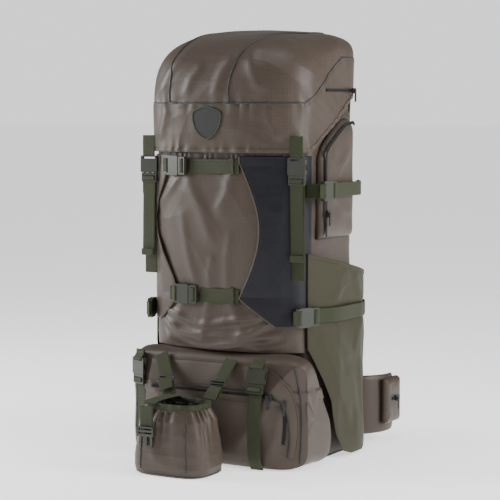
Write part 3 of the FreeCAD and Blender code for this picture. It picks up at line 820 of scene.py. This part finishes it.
def make_lower():
    """Lower compartment: a closed side profile carried across the width, shrunk towards its ends by a
    power of the cosine; the zip flap is a band between an inner and an outer line, arched by a half
    sine."""
    prof = even(spline(LOW, 500, closed=True), 230, closed=True)
    a = np.linspace(-np.pi / 2, np.pi / 2, 250)
    x, k = 176 * power(np.sin(a), 0.28), np.abs(np.cos(a)) ** 0.20
    mid = np.array([-105.0, 88.0])
    Y = mid[0] + (prof[None, :, 0] - mid[0]) * k[:, None]
    Z = mid[1] + (prof[None, :, 1] - mid[1]) * k[:, None]
    X = x[:, None] + 0 * Y
    Y = np.maximum(Y, low_plan(X))
    Y = np.where(np.abs(X) < 149, np.minimum(Y, -89.4), Y)
    r = 0.8 * waves(X, Z, 41, 60, 150) + 1.2 * creases(X, Z, 42, 50, 110)
    for p, q, w, h in (((-60, 110), (-110, 20), 12, 2.6), ((10, 112), (60, 15), 13, 2.8),
                       ((110, 105), (60, 40), 11, 2.6),
                       ((140, 112), (120, 25), 10, 2.4), ((-120, 160), (-30, 140), 9, 1.8)):
        r = r + fold(X, Z, p, q, w, h) * (Y < -120)
    keep = np.where(np.abs(Z - 126) < 9, 0.15, 1.0) * (Z > 4)
    P, N = skin("lower compartment", np.stack([X, Y, Z], -1), "pack_cloth",
                swap=("lower_compartment",),
                wrap_v=True, weld=True, centre=(0, -105, 88), relief=(np.clip(r, -1.6, 4.0) - 1.2) * keep)
    inner = even(spline([(-124, 134), (-60, 135), (40, 135), (104, 134), (130, 124), (146, 100), (151, 62),
                         (148, 24)], 300), 240)
    outer = even(spline([(-124, 174), (-60, 177), (40, 177), (112, 170), (146, 148), (160, 112), (163, 64),
                         (158, 22)], 300), 240)
    w = np.linspace(0, 1, 26)[None]
    XF = inner[:, :1] * (1 - w) + outer[:, :1] * w
    ZF = inner[:, 1:] * (1 - w) + outer[:, 1:] * w
    lip = 1.5 + 1.6 * np.sin(np.pi * w) ** 0.7 + 0 * XF
    F = np.stack([XF, low_y(XF, ZF) - lip, ZF], -1)
    PF, NF = skin("zip flap", F, "pack_cloth", thick=1.4, centre=(0, 0, 100),
                  relief=0.3 * waves(XF, ZF, 45, 30, 80))
    for k, label in ((0, "inner"), (-1, "outer")):
        sweep("zip flap piping " + label, PF[:, k], NF[:, k], round_profile(1.3, 8),
              "cord_black" if k == 0 else "pack_cloth",
              "bag")
    stitches("zip flap stitching", PF[:, 3], NF[:, 3], "bag")
    line = even(spline([(-120, 127.5), (-40, 127.5), (70, 127.5), (112, 126.5), (132, 122), (141, 108),
                        (143, 76), (141, 46)], 300), 260)
    path = np.stack([line[:, 0], low_y(line[:, 0], line[:, 1]) - 0.3, line[:, 1]], 1)
    nx = np.clip((line[:, 0] - 60) / 220, 0, 0.4)
    nrm = np.stack([nx, -np.sqrt(1 - nx ** 2), 0 * nx], 1)
    zip_line("lower zip", path, nrm, "bag", swap=("zips",))
    for side in (-1, 1):
        piping("lower end seam " + ("right" if side > 0 else "left"),
               [(side * 160, -150, 178), (side * 168, -142, 120),
               (side * 169, -142, 62), (side * 164, -140, 14)], P, N, "bag")


# ---------------------------------------------------------------- lid
def make_lid():
    """Lid: a skirt between hem and seam, then a dome whose plan shrinks by powers of the cosine while it
    rises by a power of the sine; patch, piping, zip and the hinge cloth lie on it."""
    o = ring(160, -150, 97, -60, 460)
    hem = 541 + 0.583 * np.maximum(0, o[:, 1] + 90)
    seam = np.maximum(622 + 0.66 * np.clip(o[:, 1] + 100, 0, 120), hem + 6)
    t = np.linspace(0, 1, 60)[:, None]
    skirt = np.stack([o[None, :, 0] + 0 * t, o[None, :, 1] + 0 * t, hem * (1 - t) + seam * t], -1)
    phi = np.linspace(0, np.pi / 2, 130)[1:, None]
    kx, ky, h = np.cos(phi) ** 0.76, np.cos(phi) ** 0.6, np.sin(phi) ** (2 / 3)
    dome = np.stack([o[None, :, 0] * kx, 60 + (o[None, :, 1] - 60) * ky, seam + (752 - seam) * h], -1)
    P = np.concatenate([skirt, dome])
    X, Z = P[..., 0], P[..., 2]
    a = np.linspace(0, 800, 460)[None] + 0 * X
    below = np.abs(Z - seam[None])
    r = 1.3 * waves(X, Z + P[..., 1], 51, 90, 220) + 1.6 * creases(X, Z + 0.6 * P[..., 1], 52, 60, 130)
    under = 1.6 * gathers(a, np.where(Z < seam[None], below, 99), 21, 16, 1)
    over = 1.1 * gathers(a, np.where(Z >= seam[None], below, 99), 26, 13, 4)
    r += under + over
    r += 1.2 * gathers(a, Z - hem[None], 18, 10, 6)
    for p, q, w, hh in (((-120, 640), (-60, 720), 11, 3.0), ((0, 632), (30, 715), 12, 2.6),
                        ((90, 640), (60, 715), 12, 3.0),
                        ((-60, 635), (-30, 690), 9, 2.2), ((120, 560), (100, 612), 9, 2.4),
                        ((-120, 560), (-100, 612), 9, 2.4)):
        r = r + fold(X, Z, p, q, w, hh) * (P[..., 1] < 20)
    flat = 1 - 0.85 * np.exp(-(((X + 12) / 34) ** 4 + ((Z - 588) / 36) ** 4)) * (P[..., 1] < -80)
    fade = smooth((754 - Z) / 8)
    P, N = skin("lid cloth", P, "pack_cloth", body="lid", swap=("lid_top", "lid_skirt"),
                thick=2.4,
                centre=(0, -20, 620), wrap_v=True, weld=True,
                relief=(np.clip(r, -2.5, 4.5) - 1.6) * flat * fade)
    row = P[59]
    sweep("lid seam piping", joined(row), joined(N[59]), round_profile(1.5, 8), "cord_black",
          "lid")
    hemline = joined(P[0])
    sweep("lid hem binding", hemline, joined(N[0]), flat_profile(2.6, 7), "pack_cloth", "lid")
    stitches("lid seam stitching", P[54], N[54], "lid")
    piping("lid top seam left", [(-92, -140, 622), (-90, -135, 660), (-85, -110, 700), (-82, -70, 735),
                                 (-80, 0, 748),
                                 (-80, 80, 745)], P, N, "lid")
    piping("lid top seam right", [(30, -148, 622), (31, -140, 665), (50, -110, 712), (75, -60, 737),
                                  (88, 0, 745),
                                  (90, 80, 742)], P, N, "lid")
    shield = [(-41, 606), (-30, 613), (-12, 617), (6, 613), (17, 606), (16, 588), (8, 572), (-12, 559),
              (-32, 572), (-40, 588)]

    def on_lid(x, z, c):
        y = np.interp(x, *zip(*sorted((q[0], q[1]) for q in o[o[:, 1] < -60]))) - 1.0
        return np.stack([x, y - c, z], -1)
    outline = even(spline(shield, 300, closed=True), 200, closed=True)
    pillow("lid patch", outline, -0.8, 1.6, on_lid, "patch", "lid", swap=("lid_patch",),
           edge=16)
    rim = on_lid(outline[:, 0] * 0.94 - 0.7, 588 + (outline[:, 1] - 588) * 0.94, 1.9)
    sweep("lid patch rim", joined(rim), (0, -1, 0.01), round_profile(0.8, 8), "thread", "lid")
    xs, t = np.linspace(-138, 138, 140)[:, None], np.linspace(0, 1, 40)[None]
    H = np.stack([xs + 0 * t, 93.2 + 4.6 * np.sin(np.pi * t / 2) + 0 * xs, 594 + 60 * t + 0 * xs], -1)
    n = normals(H)
    hinge = build("lid hinge cloth", H, flip=bool(n[..., 1].mean() < 0))
    thicken(hinge, 1.6)
    dress(hinge, "pack_cloth", None)
    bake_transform(hinge)
    ys = np.linspace(-40, 72, 90)
    path, nrm = snap(np.stack([160 + 0 * ys, ys, 644 + 0 * ys], 1), P, N, 0.9)
    path[:, 2] = 644
    zip_line("lid zip", path, nrm, "lid", swap=("lid_zip",))


# ---------------------------------------------------------------- side pockets
ARCH = [(-58, 387), (-58, 528), (-44, 548), (-14, 572), (20, 592), (50, 597), (65, 585), (65, 387)]


def make_sides():
    """Side pockets: a crowned form over an arched outline, with a zip along its edge."""
    for side, tag in SIDES:

        def out(y, z, c):
            return np.stack([side * (BODY_HALF + c), y, z], -1)
        pillow("side pocket " + tag, even(np.array(ARCH, float), 300, closed=True), -0.5, 15.6, out,
               "pack_cloth",
               "bag", swap=("side_pocket_" + tag,), edge=9, nr=60, nt=340,
               relief=lambda y, z: np.clip(0.8 * waves(y, z, 61, 40, 110) + fold(y, z, (-30, 470), (50, 430),
                                                                                 9, 1.8)
                                           + fold(y, z, (-30, 480), (40, 540), 9, 1.6) - 0.6, -2.5, 0.3))
        line = spline([(-49, 392), (-49, 460), (-49, 528), (-40, 545), (-12, 564), (20, 582), (48, 588),
                       (56, 584)], 220)
        line = even(line, 220)
        path = np.stack([side * (SIDE_FACE + 0 * line[:, 0]), line[:, 0], line[:, 1]], 1)
        nrm = np.tile([float(side), 0, 0], (220, 1))
        zip_line("side zip " + tag, path, nrm, "bag")
        make_stretch(side, tag)


def make_stretch(side, tag):
    """Stretch pocket: a plan line carried from a stepped lower edge to a sloping top edge, drawn in where
    the side strap crosses it."""
    plan = even(spline([(151, -92), (157, -88), (176, -35), (180, -10), (180, 60), (167, 94), (151, 98)],
                       400), 200)
    t = np.linspace(0, 1, 150)[None]
    y = plan[:, 1:2]
    top = 362 - (y + 92) * 44 / 191
    low = np.interp(y, [-96, -60, -42, -28, -8, 22, 72, 99], [206, 146, 108, 44, 14, 5, 4, 16])
    Z = low * (1 - t) + top * t
    X, Y = plan[:, :1] + 0 * t, y + 0 * t
    r = 1.0 * waves(Y, Z, 71, 70, 170) + 1.0 * creases(Y, Z, 73, 60,
                                                       130) - 3.4 * np.exp(-((Z - 258) / 15) ** 2)
    for p, q, w, h in (((-50, 250), (20, 180), 11, 2.4), ((-50, 262), (0, 330), 11, 2.6),
                       ((70, 250), (30, 170), 11, 2.0),
                       ((70, 264), (30, 320), 11, 2.2), ((10, 150), (60, 30), 14, 3.0),
                       ((-60, 235), (20, 60), 12, 3.2), ((40, 235), (75, 60), 11, 2.6)):
        r = r + fold(Y, Z, p, q, w, h)
    ends = smooth((X - 151) / 12)
    P, _ = skin("stretch pocket " + tag, np.stack([side * X, Y, Z], -1), "stretch_cloth",
                swap=("stretch_pocket_" + tag,), thick=1.6, centre=(0, 0, 180),
                relief=(np.clip(r, -4, 2.6) - 1.4) * ends)
    edge = P[:, -1]
    sweep("stretch pocket binding " + tag, edge, (0, 0, 1), flat_profile(7, 2.2), "stretch_cloth", "bag")


# ---------------------------------------------------------------- straps and buckle loops
def flat_run(name, xy, z, body="bag", swap=(), n=120, thick=1.7):
    """A strap at one height, its width upright, along a line seen from above."""
    p = even(spline(xy, n), n)
    return strap(name, np.column_stack([p, np.full(n, float(z))]), (0, 0, 1), body, n=n, swap=swap,
                 thick=thick, dense=False)


def tail(name, top, length, body, across=(1, 0, 0), drift=0.0):
    """A strap end that hangs straight down and ends in a small rolled fold."""
    x, y, z = top
    pts = [(x, y, z), (x + drift * 0.3, y - 0.8, z - length * 0.4),
           (x + drift * 0.7, y - 0.6, z - length * 0.8),
           (x + drift, y - 1.0, z - length), (x + drift, y - 4.2, z - length - 1.5),
           (x + drift, y - 4.6, z - length + 8)]
    return strap(name, pts, across, body, n=70)


def make_straps():
    """All straps of the bag and lid, with the loops and tabs at their buckles."""
    for side, tag in SIDES:
        flip = side < 0
        first = ("side_webbing",) if side > 0 else ()
        m = np.array([side, 1.0])
        flat_run("upper side strap " + tag,
                 np.array([(176.3, -38), (176.3, 20), (175.6, 60), (165, 80), (152, 95)]) * m,
                 HIGH_SIDE_STRAP, swap=first)
        flat_run("upper side anchor " + tag, np.array([(152.5, -96), (163, -94), (175.6, -91.4)]) * m,
                 HIGH_SIDE_STRAP, n=40)
        low = [(157.6, -90.6), (168, -64), (178.4, -36), (182.2, -10), (182.4, 25), (181.6, 60), (167, 98),
               (152, 100.6)]
        flat_run("lower side strap " + tag, np.array(low) * m, LOW_SIDE_STRAP, n=160)
        plug_loop("upper side loop " + tag, "side_upper", "side_plug_upper_" + tag, flip)
        plug_loop("lower side loop " + tag, "side_lower", "side_plug_lower_" + tag, flip)
        tab_loop("upper side tab " + tag, "side_upper", "bag", flip, far=-33)
        tab_loop("lower side tab " + tag, "side_lower", "bag", flip, far=-33)
        anchor = [(side * LID_STRAP_X, -118.1, 498), (side * LID_STRAP_X, -118.6, 430),
                  (side * LID_STRAP_X, -118.2, 360), (side * LID_STRAP_X, -118.1, 322)]
        strap("lid anchor strap " + tag, anchor, (1, 0, 0), "bag", n=100,
              swap=("front_webbing",) if side > 0 else ())
        tail("lid strap tail " + tag, (side * LID_STRAP_X, -123.4, 487), 130, "lid_plug_" + tag,
             drift=side * 2.0)
        strap("lid strap " + tag, [(side * LID_STRAP_X, -124.8, 566), (side * LID_STRAP_X, -125.2, 550),
                                   (side * LID_STRAP_X, -124.8, 530)],
              (1, 0, 0), "lid", n=40, swap=("lid_webbing",) if side > 0 else ())
        plug_loop("lid loop " + tag, "lid", "lid_plug_" + tag, flip)
    for z, x0, x1, key, plug in ((HIGH_STRAP, -52, 47, "front_upper", "front_plug_upper"),
                                 (LOW_STRAP, -30, 46, "front_lower", "front_plug_lower")):
        label = key.replace("_", " ")
        x = np.linspace(x0, x1, 90)
        p = front(x, z + 0 * x, 3.2)
        strap(label + " strap", p, (0, 0, 1), "bag", n=90, dense=False)
        plug_loop(label + " loop", key, plug)
        tab_loop(label + " tab", key, "bag", far=-42)
        k = front(np.linspace(30, 37, 12), np.full(12, float(z)), 4.6)
        strap(label + " keeper", k, (0, 0, 1), "bag", width=29, thick=2.4, dense=False)
    right = [(98, -170.9, 146), (98, -177.1, 122.6), (98, -180.4, 90), (98, -180.6, 62), (98, -179.4, 24),
             (98, -169, 1.6)]
    strap("base strap right", right, (1, 0, 0), "bag", n=120)
    plug_loop("base loop right", "base_right", "base_plug_right")
    tab_loop("base tab right", "base_right", "bag")
    p, v = at("base_left", [(2, 0, 1.1), (40, 0, 1.4), (90, 0, 1.3), (139, 0, 1.1)])
    strap("base strap left", p, v, "bag", n=100)
    plug_loop("base loop left", "base_left", "base_plug_left")
    tab_loop("base tab left", "base_left", "bag")


# ---------------------------------------------------------------- pouch
def make_pouch():
    """Pouch: a rounded plan whose two half widths follow the height, gathered at the mouth, with its rim
    band, hangers and mouth strap."""
    levels = [0, 6, 14, 36, 60, 92, 112]
    hx = np.interp(np.linspace(0, 112, 110), levels, [66, 71, 72, 71, 69, 63, 51.5])
    hy = np.interp(np.linspace(0, 112, 110), levels, [46, 49, 50, 50, 49, 46, 37.5])
    z = np.linspace(0.4, 112, 110)
    o = ring(1, -1, 1, 0, 360, front=(3.4, 3.0), back=(4.5, 4.5))
    side = np.stack([-13 + o[None, :, 0] * hx[:, None], -245.2 + o[None, :, 1] * hy[:, None],
                     z[:, None] + 0 * o[None, :, 0]], -1)
    k = np.linspace(0, 1, 14)[:-1, None]
    floor = np.stack([-13 + o[None, :, 0] * hx[0] * k, -245.2 + o[None, :, 1] * hy[0] * k,
                      0.4 + 0 * o[None, :, 0] * k], -1)
    P = np.concatenate([floor, side])
    a = np.linspace(0, 380, 360)[None] + 0 * P[..., 0]
    Z = P[..., 2]
    r = 4.4 * gathers(a, 114 - Z, 19, 24, 2) + 0.8 * waves(a, Z, 81, 60, 130)
    r = r + 1.3 * creases(a, Z, 83, 40, 80) + fold(a, Z, (150, 95), (190, 20), 12, 2.6)
    r = (np.clip(r, -4, 4.5) - 1.8) * smooth(Z / 10) * smooth((114 - Z) / 6)
    P, N = skin("pouch cloth", P, "pack_cloth", body="pouch", swap=("pouch_body",), thick=1.8,
                centre=(-13, -245, 60), wrap_v=True, weld=True, relief=r)
    low = P[16]
    sweep("pouch bottom piping", joined(low), (0, 0, 1), round_profile(1.4, 8), "cord_black", "pouch")
    for x0 in (-58, 33):
        piping("pouch seam " + ("left" if x0 < 0 else "right"),
               [(x0, -296, 10), (x0, -297, 50), (x0 * 0.97, -292, 84),
               (x0 * 0.92, -286, 108)], P, N, "pouch", r=0.9)
    zr = np.array([111, 114, 118, 121.5])[:, None]
    w = 1 + 0.018 * np.sin(np.linspace(0, 2 * np.pi * 21, 360))[None] * ((zr - 111) / 10)
    rim = np.stack([-13 + o[None, :, 0] * 52.6 * w, -245.4 + o[None, :, 1] * 38.4 * w,
                    zr + 0 * o[None, :, 0]], -1)
    skin("pouch rim band", rim, "webbing", body="pouch", swap=("pouch_rim",), thick=2.2,
         centre=(-13, -245, 116), wrap_v=True)
    for name, top, foot in (("left", (-104, -154, 184), (-55, -204.8, 121.5)),
                            ("right", (38, -154, 184), (29, -204.8, 121.5))):
        a0, b0 = np.array(top, float), np.array(foot, float)
        t = np.linspace(0, 1, 60)[:, None]
        line = a0 * (1 - t) + b0 * t
        strap("pouch hanger " + name, line, (1, 0, 0), "pouch", n=60, dense=False,
              swap=("pouch_straps",) if name == "left" else ())
        d = (b0 - a0) / np.linalg.norm(b0 - a0)
        q = a0 + d * 58 + np.array([0, -3.2, 2.4])
        strap("pouch hanger end " + name, [q, q + d * 10 + (0, -2.4, 0), q + d * 22 + (0, -4.0, -2)],
              (1, 0, 0), "pouch", n=30)
    over = [(-41.5, -208.2, 123.4), (-41.5, -245, 124.8), (-41.5, -281, 123.6), (-41.5, -286.6, 120.2)]
    strap("pouch mouth strap", over, (1, 0, 0), "pouch", n=80)
    strap("pouch tab webbing", [(-41.5, -296.8, 117.3), (-41.5, -296.9, 100), (-41.5, -296.8, 84.2)],
          (1, 0, 0), "pouch_tab",
          width=25.8, thick=2.4, n=50)


# ---------------------------------------------------------------- back, shoulder straps and belt
def make_back():
    """Back and lumbar pads as ribbed crowned forms, the webbing that joins the shoulder straps, and the
    haul loop."""
    def on_back(x, z, c):
        return np.stack([x, 92.2 + c, z], -1)

    def ribs(a, b):
        return 1.1 * np.sin(2 * np.pi * b / 26) - 1.2
    for side, tag in SIDES:
        pad = np.array([(16, 160), (24, 150), (62, 150), (70, 160), (70, 516), (62, 526), (24, 526),
                        (16, 516)]) * (side, 1)
        pillow("back pad " + tag, pad, -0.2, 13.6, on_back, "mesh_pad", "bag",
               swap=("back_pads",) if side > 0 else (), edge=7, relief=ribs)
        rim = even(pad.astype(float), 240, closed=True)
        rim = np.column_stack([rim[:, 0], np.full(240, 93.6), rim[:, 1]])
        sweep("back pad binding " + tag, joined(rim), (0, 1, 0), round_profile(1.5, 8), "black_tape", "bag")
        lift = [(side * 80, 93.4, 604.6), (side * 80, 107, 598), (side * 80, 121.6, 587)]
        ob = strap("load lifter " + tag, lift, (1, 0, 0), None, width=20, n=60,
                   swap=("back_webbing",) if side > 0 else ())
        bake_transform(ob)
        low = [(side * 90, 93.4, 172), (side * 90, 104, 186), (side * 90, 114, 204), (side * 90, 131.2, 271)]
        ob = strap("lower shoulder webbing " + tag, low, (1, 0, 0), None, n=80)
        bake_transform(ob)
    box = [(-98, 40), (-86, 28), (86, 28), (98, 40), (98, 124), (86, 136), (-86, 136), (-98, 124)]
    pillow("lumbar pad", box, -0.2, 25.4, on_back, "mesh_pad", "bag", swap=("lumbar_pad",),
           edge=6,
           relief=lambda a, b: -2.4 * np.exp(-(a / 5) ** 2) + 0.8 * np.sin(2 * np.pi * b / 22) - 0.8)
    loop = [(-34, 97.1, 586), (-35, 97.1, 566), (-31, 97.1, 553), (-18, 97.1, 546), (0, 97.1, 544.5),
            (18, 97.1, 546),
            (31, 97.1, 553), (35, 97.1, 566), (34, 97.1, 586)]
    strap("haul loop", loop, (0, 1, 0), "haul_loop", width=2.6, thick=16, n=120, swap=("haul_loop",))
    strap("haul loop bar", [(-43, 97.1, 586), (0, 97.1, 586), (43, 97.1, 586)], (0, 0, 1), "haul_loop",
          width=5, thick=2.8, n=40)


def make_shoulders():
    """Shoulder pads: a crowned form over a long outline, bent along a line seen from the side."""
    line, length = along([(103, 566), (126, 546), (144, 500), (144, 380), (134, 300)])
    for side, tag in SIDES:
        body = "shoulder_strap_" + tag

        def wrap(a, b, c):
            y, z = line(a, c)
            return np.stack([side * b, y, z], -1)
        outline = [(1, 58), (6, 51), (length - 14, 52), (length - 1, 62), (length - 1, 98),
                   (length - 14, 108), (6, 109), (1, 102)]
        pillow("shoulder pad " + tag, outline, -5.2, 5.2, wrap, "mesh_pad", body,
               swap=("shoulder_pad_" + tag,), edge=7, nr=44, nt=420, relief=lambda a,
               b: 0.35 * waves(a, b, 91, 30, 90) - 0.4)
        o = softened(outline, 400)
        edge = wrap(o[:, 0], 80 + (o[:, 1] - 80) * 0.99, 0 * o[:, 0])
        sweep("shoulder binding " + tag, joined(edge), (0, 1, 0.02), round_profile(1.3, 8), "black_tape",
              body)


def make_chest():
    """The two halves of the chest strap."""
    strap("chest webbing right", [(34.6, CHEST_STRAP_Y, CHEST_STRAP_Z), (45, CHEST_STRAP_Y, CHEST_STRAP_Z),
                                  (55.3, CHEST_STRAP_Y, CHEST_STRAP_Z)], (0, 0, 1), "chest_strap_right",
          width=19.8, thick=2.2, n=40)
    strap("chest webbing left", [(-55.3, CHEST_STRAP_Y, CHEST_STRAP_Z), (-43, CHEST_STRAP_Y, CHEST_STRAP_Z),
                                 (-30.4, CHEST_STRAP_Y, CHEST_STRAP_Z)], (0, 0, 1), "chest_strap_left",
          width=19.8, thick=2.2, n=40)


def make_belt():
    """Hip belt: padded wings bent along a line seen from above, each with a zipped pocket and its webbing."""
    line, length = along([(110, 112), (150, 136), (170, 172), (168, 208), (148, 236)])
    for side, tag in SIDES:
        body = "hip_belt_" + tag

        def wrap(a, b, c):
            x, y = line(a, c)
            return np.stack([side * x, y, b], -1)
        outline = [(1, 20), (8, 16), (length - 40, 18), (length - 10, 42), (length - 1, 56),
                   (length - 1, 86),
                   (length - 10, 100), (length - 40, 124), (8, 126), (1, 122)]
        pillow("hip belt wing " + tag, outline, -6.2, 6.2, wrap, "pack_cloth", body,
               swap=("hip_wing_" + tag,),
               edge=7, nr=44, nt=360, relief=lambda a, b: 0.4 * waves(a, b, 95, 30, 80) - 0.5)

        def pocket(y, z, c):
            return np.stack([side * (176.5 + c), y, z], -1)
        pillow("hip belt pocket " + tag, [(154, 34), (214, 34), (214, 118), (154, 118)], -1.0, 11.9, pocket,
               "pack_cloth",
               body, edge=8, nr=44, nt=240, relief=lambda a,
               b: np.clip(0.6 * waves(a, b, 97, 20, 60), -1.2, 0))
        ys = np.linspace(170, 203, 40)
        zip_line("hip belt zip " + tag, np.stack([side * (188.9 + 0 * ys), ys, 80 + 0 * ys], 1),
                 np.tile([float(side), 0, 0], (40, 1)), body)
        far = [(130, 251.8), (122, 255.8), (115, 259.4)] if side > 0 else [(130, 251.0), (123.5, 254.2),
                                                                           (118.6, 256.8)]
        web = [(160, 222), (150, 235.8), (140, 244.8)] + far
        strap("belt webbing " + tag, [(side * x, y, 71) for x, y in web], (0, 0, 1), body, width=30,
              thick=2.4, n=80)


# ---------------------------------------------------------------- hard parts and stage
HARD = {"buckle_plastic": "buckle", "frame_plastic": "sheet", "stay_metal": "stay", "zip_pull": "cord_black",
        "zip_tape": "black_tape", "webbing": "webbing", "padding": "mesh_pad", "pack_cloth": "pack_cloth",
        "navy_cloth": "navy_cloth", "stretch_cloth": "stretch_cloth", "patch_rubber": "patch"}


def finish_hard_parts():
    """Every moulded or metal part keeps its own mesh and gets the finish of its slot."""
    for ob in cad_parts.values():
        for s in ob.material_slots:
            key = next((k for k in HARD if s.material and s.material.name.startswith(k)), "buckle_plastic")
            s.link = "OBJECT"
            s.material = material(HARD[key])


def set_stage():
    """Pale floor and surround, a soft box on each side, a weak one overhead, and the camera a little above
    the middle of the bag."""
    me = bpy.data.meshes.new("floor")
    me.from_pydata([(-60, -60, 0), (60, -60, 0), (60, 60, 0), (-60, 60, 0)], [], [(0, 1, 2, 3)])
    floor = bpy.data.objects.new("floor", me)
    bpy.context.scene.collection.objects.link(floor)
    m = bpy.data.materials.new("floor paper")
    m.use_nodes = True
    paper = m.node_tree.nodes["Principled BSDF"].inputs
    paper["Base Color"].default_value = (0.93, 0.93, 0.93, 1)
    paper["Roughness"].default_value = 0.75
    paper["Emission Color"].default_value = (1, 1, 1, 1)
    paper["Emission Strength"].default_value = 0.95
    me.materials.append(m)
    for name, place, energy, size in (("left softbox", (-1.7, -0.7, 1.0), 40, 0.9),
                                      ("right softbox", (2.0, 0.1, 1.1), 46, 1.0),
                                      ("top softbox", (0.3, -0.5, 2.3), 16, 1.2)):
        light = bpy.data.lights.new(name, "AREA")
        light.shape, light.size, light.energy = "SQUARE", size, energy
        lamp = bpy.data.objects.new(name, light)
        lamp.location = place
        lamp.rotation_euler = (Vector((0, 0, 0.38)) - Vector(place)).to_track_quat("-Z", "Y").to_euler()
        bpy.context.scene.collection.objects.link(lamp)
    world = bpy.data.worlds.new("pale room")
    bpy.context.scene.world = world
    world.use_nodes = True
    tree = world.node_tree
    sky = tree.nodes["Background"].inputs
    sky[0].default_value = (1, 1, 1, 1)
    ray = tree.nodes.new("ShaderNodeLightPath")
    level = maths(tree, "ADD", maths(tree, "MULTIPLY", ray.outputs["Is Camera Ray"], 1.0), 0.26)
    tree.links.new(level, sky[1])
    cam = bpy.data.cameras.new("camera")
    cam.lens, cam.sensor_width = 120.67, 36.0
    eye = bpy.data.objects.new("camera", cam)
    eye.location = CAMERA_PLACE
    eye.rotation_euler = (math.radians(90 - CAMERA_DIP), 0, math.radians(CAMERA_TURN))
    bpy.context.scene.collection.objects.link(eye)
    bpy.context.scene.camera = eye


# ---------------------------------------------------------------- operators and panel
class PACK_OT_stage(bpy.types.Operator):
    """Add the floor, the soft lights and the camera"""
    bl_idname = "pack.stage"
    bl_label = "Stage and camera"

    def execute(self, context):
        set_stage()
        return {"FINISHED"}


class PACK_OT_shell(bpy.types.Operator):
    """Sew the main bag with its collar and base"""
    bl_idname = "pack.shell"
    bl_label = "Bag shell and base"

    def execute(self, context):
        make_shell()
        return {"FINISHED"}


class PACK_OT_front(bpy.types.Operator):
    """Sew the stuffed front pocket and the two compression wings"""
    bl_idname = "pack.front"
    bl_label = "Front pocket and wings"

    def execute(self, context):
        make_front()
        return {"FINISHED"}


class PACK_OT_lower(bpy.types.Operator):
    """Sew the lower compartment with its zip and flap"""
    bl_idname = "pack.lower"
    bl_label = "Lower compartment"

    def execute(self, context):
        make_lower()
        return {"FINISHED"}


class PACK_OT_lid(bpy.types.Operator):
    """Sew the lid with its seams, patch and zip"""
    bl_idname = "pack.lid"
    bl_label = "Lid"

    def execute(self, context):
        make_lid()
        return {"FINISHED"}


class PACK_OT_sides(bpy.types.Operator):
    """Sew the zipped side pockets and the stretch pockets"""
    bl_idname = "pack.sides"
    bl_label = "Side and stretch pockets"

    def execute(self, context):
        make_sides()
        return {"FINISHED"}


class PACK_OT_straps(bpy.types.Operator):
    """Thread the compression, lid and base straps"""
    bl_idname = "pack.straps"
    bl_label = "Straps"

    def execute(self, context):
        make_straps()
        return {"FINISHED"}


class PACK_OT_pouch(bpy.types.Operator):
    """Sew the gathered pouch with its rim and hangers"""
    bl_idname = "pack.pouch"
    bl_label = "Pouch"

    def execute(self, context):
        make_pouch()
        return {"FINISHED"}


class PACK_OT_back(bpy.types.Operator):
    """Add the back pads, lumbar pad, haul loop and back webbing"""
    bl_idname = "pack.back"
    bl_label = "Back"

    def execute(self, context):
        make_back()
        return {"FINISHED"}


class PACK_OT_shoulders(bpy.types.Operator):
    """Add the padded shoulder straps and the chest webbing"""
    bl_idname = "pack.shoulders"
    bl_label = "Shoulder straps"

    def execute(self, context):
        make_shoulders()
        make_chest()
        return {"FINISHED"}


class PACK_OT_belt(bpy.types.Operator):
    """Add the padded hip belt with its pockets"""
    bl_idname = "pack.belt"
    bl_label = "Hip belt"

    def execute(self, context):
        make_belt()
        return {"FINISHED"}


class PACK_OT_hard(bpy.types.Operator):
    """Give the buckles, sliders, stays and frame sheet their finishes"""
    bl_idname = "pack.hard_parts"
    bl_label = "Buckles and frame"

    def execute(self, context):
        finish_hard_parts()
        return {"FINISHED"}


STEPS = (PACK_OT_stage, PACK_OT_shell, PACK_OT_front, PACK_OT_lower, PACK_OT_lid, PACK_OT_sides,
         PACK_OT_straps,
         PACK_OT_pouch, PACK_OT_back, PACK_OT_shoulders, PACK_OT_belt, PACK_OT_hard)


class PACK_PT_panel(bpy.types.Panel):
    bl_label = "Backpack"
    bl_idname = "PACK_PT_panel"
    bl_space_type = "VIEW_3D"
    bl_region_type = "UI"
    bl_category = "Backpack"

    def draw(self, context):
        for group_name in ("pack_sizes", "pack_colours"):
            values = getattr(context.scene, group_name)
            for key in values.__annotations__:
                self.layout.prop(values, key)
        for step in STEPS:
            self.layout.operator(step.bl_idname)


CLASSES = (PackSizes, PackColours, *STEPS, PACK_PT_panel)


def register():
    """Adds the classes and the two groups of values to Blender."""
    for c in CLASSES:
        bpy.utils.register_class(c)
    bpy.types.Scene.pack_sizes = bpy.props.PointerProperty(type=PackSizes)
    bpy.types.Scene.pack_colours = bpy.props.PointerProperty(type=PackColours)


def unregister():
    """Takes them away again."""
    del bpy.types.Scene.pack_colours
    del bpy.types.Scene.pack_sizes
    for c in reversed(CLASSES):
        bpy.utils.unregister_class(c)


def main():
    """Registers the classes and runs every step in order."""
    register()
    for step in STEPS:
        space, name = step.bl_idname.split(".")
        if getattr(getattr(bpy.ops, space), name)() != {"FINISHED"}:
            raise RuntimeError(step.bl_label + " did not finish")


if __name__ == "__main__":
    main()
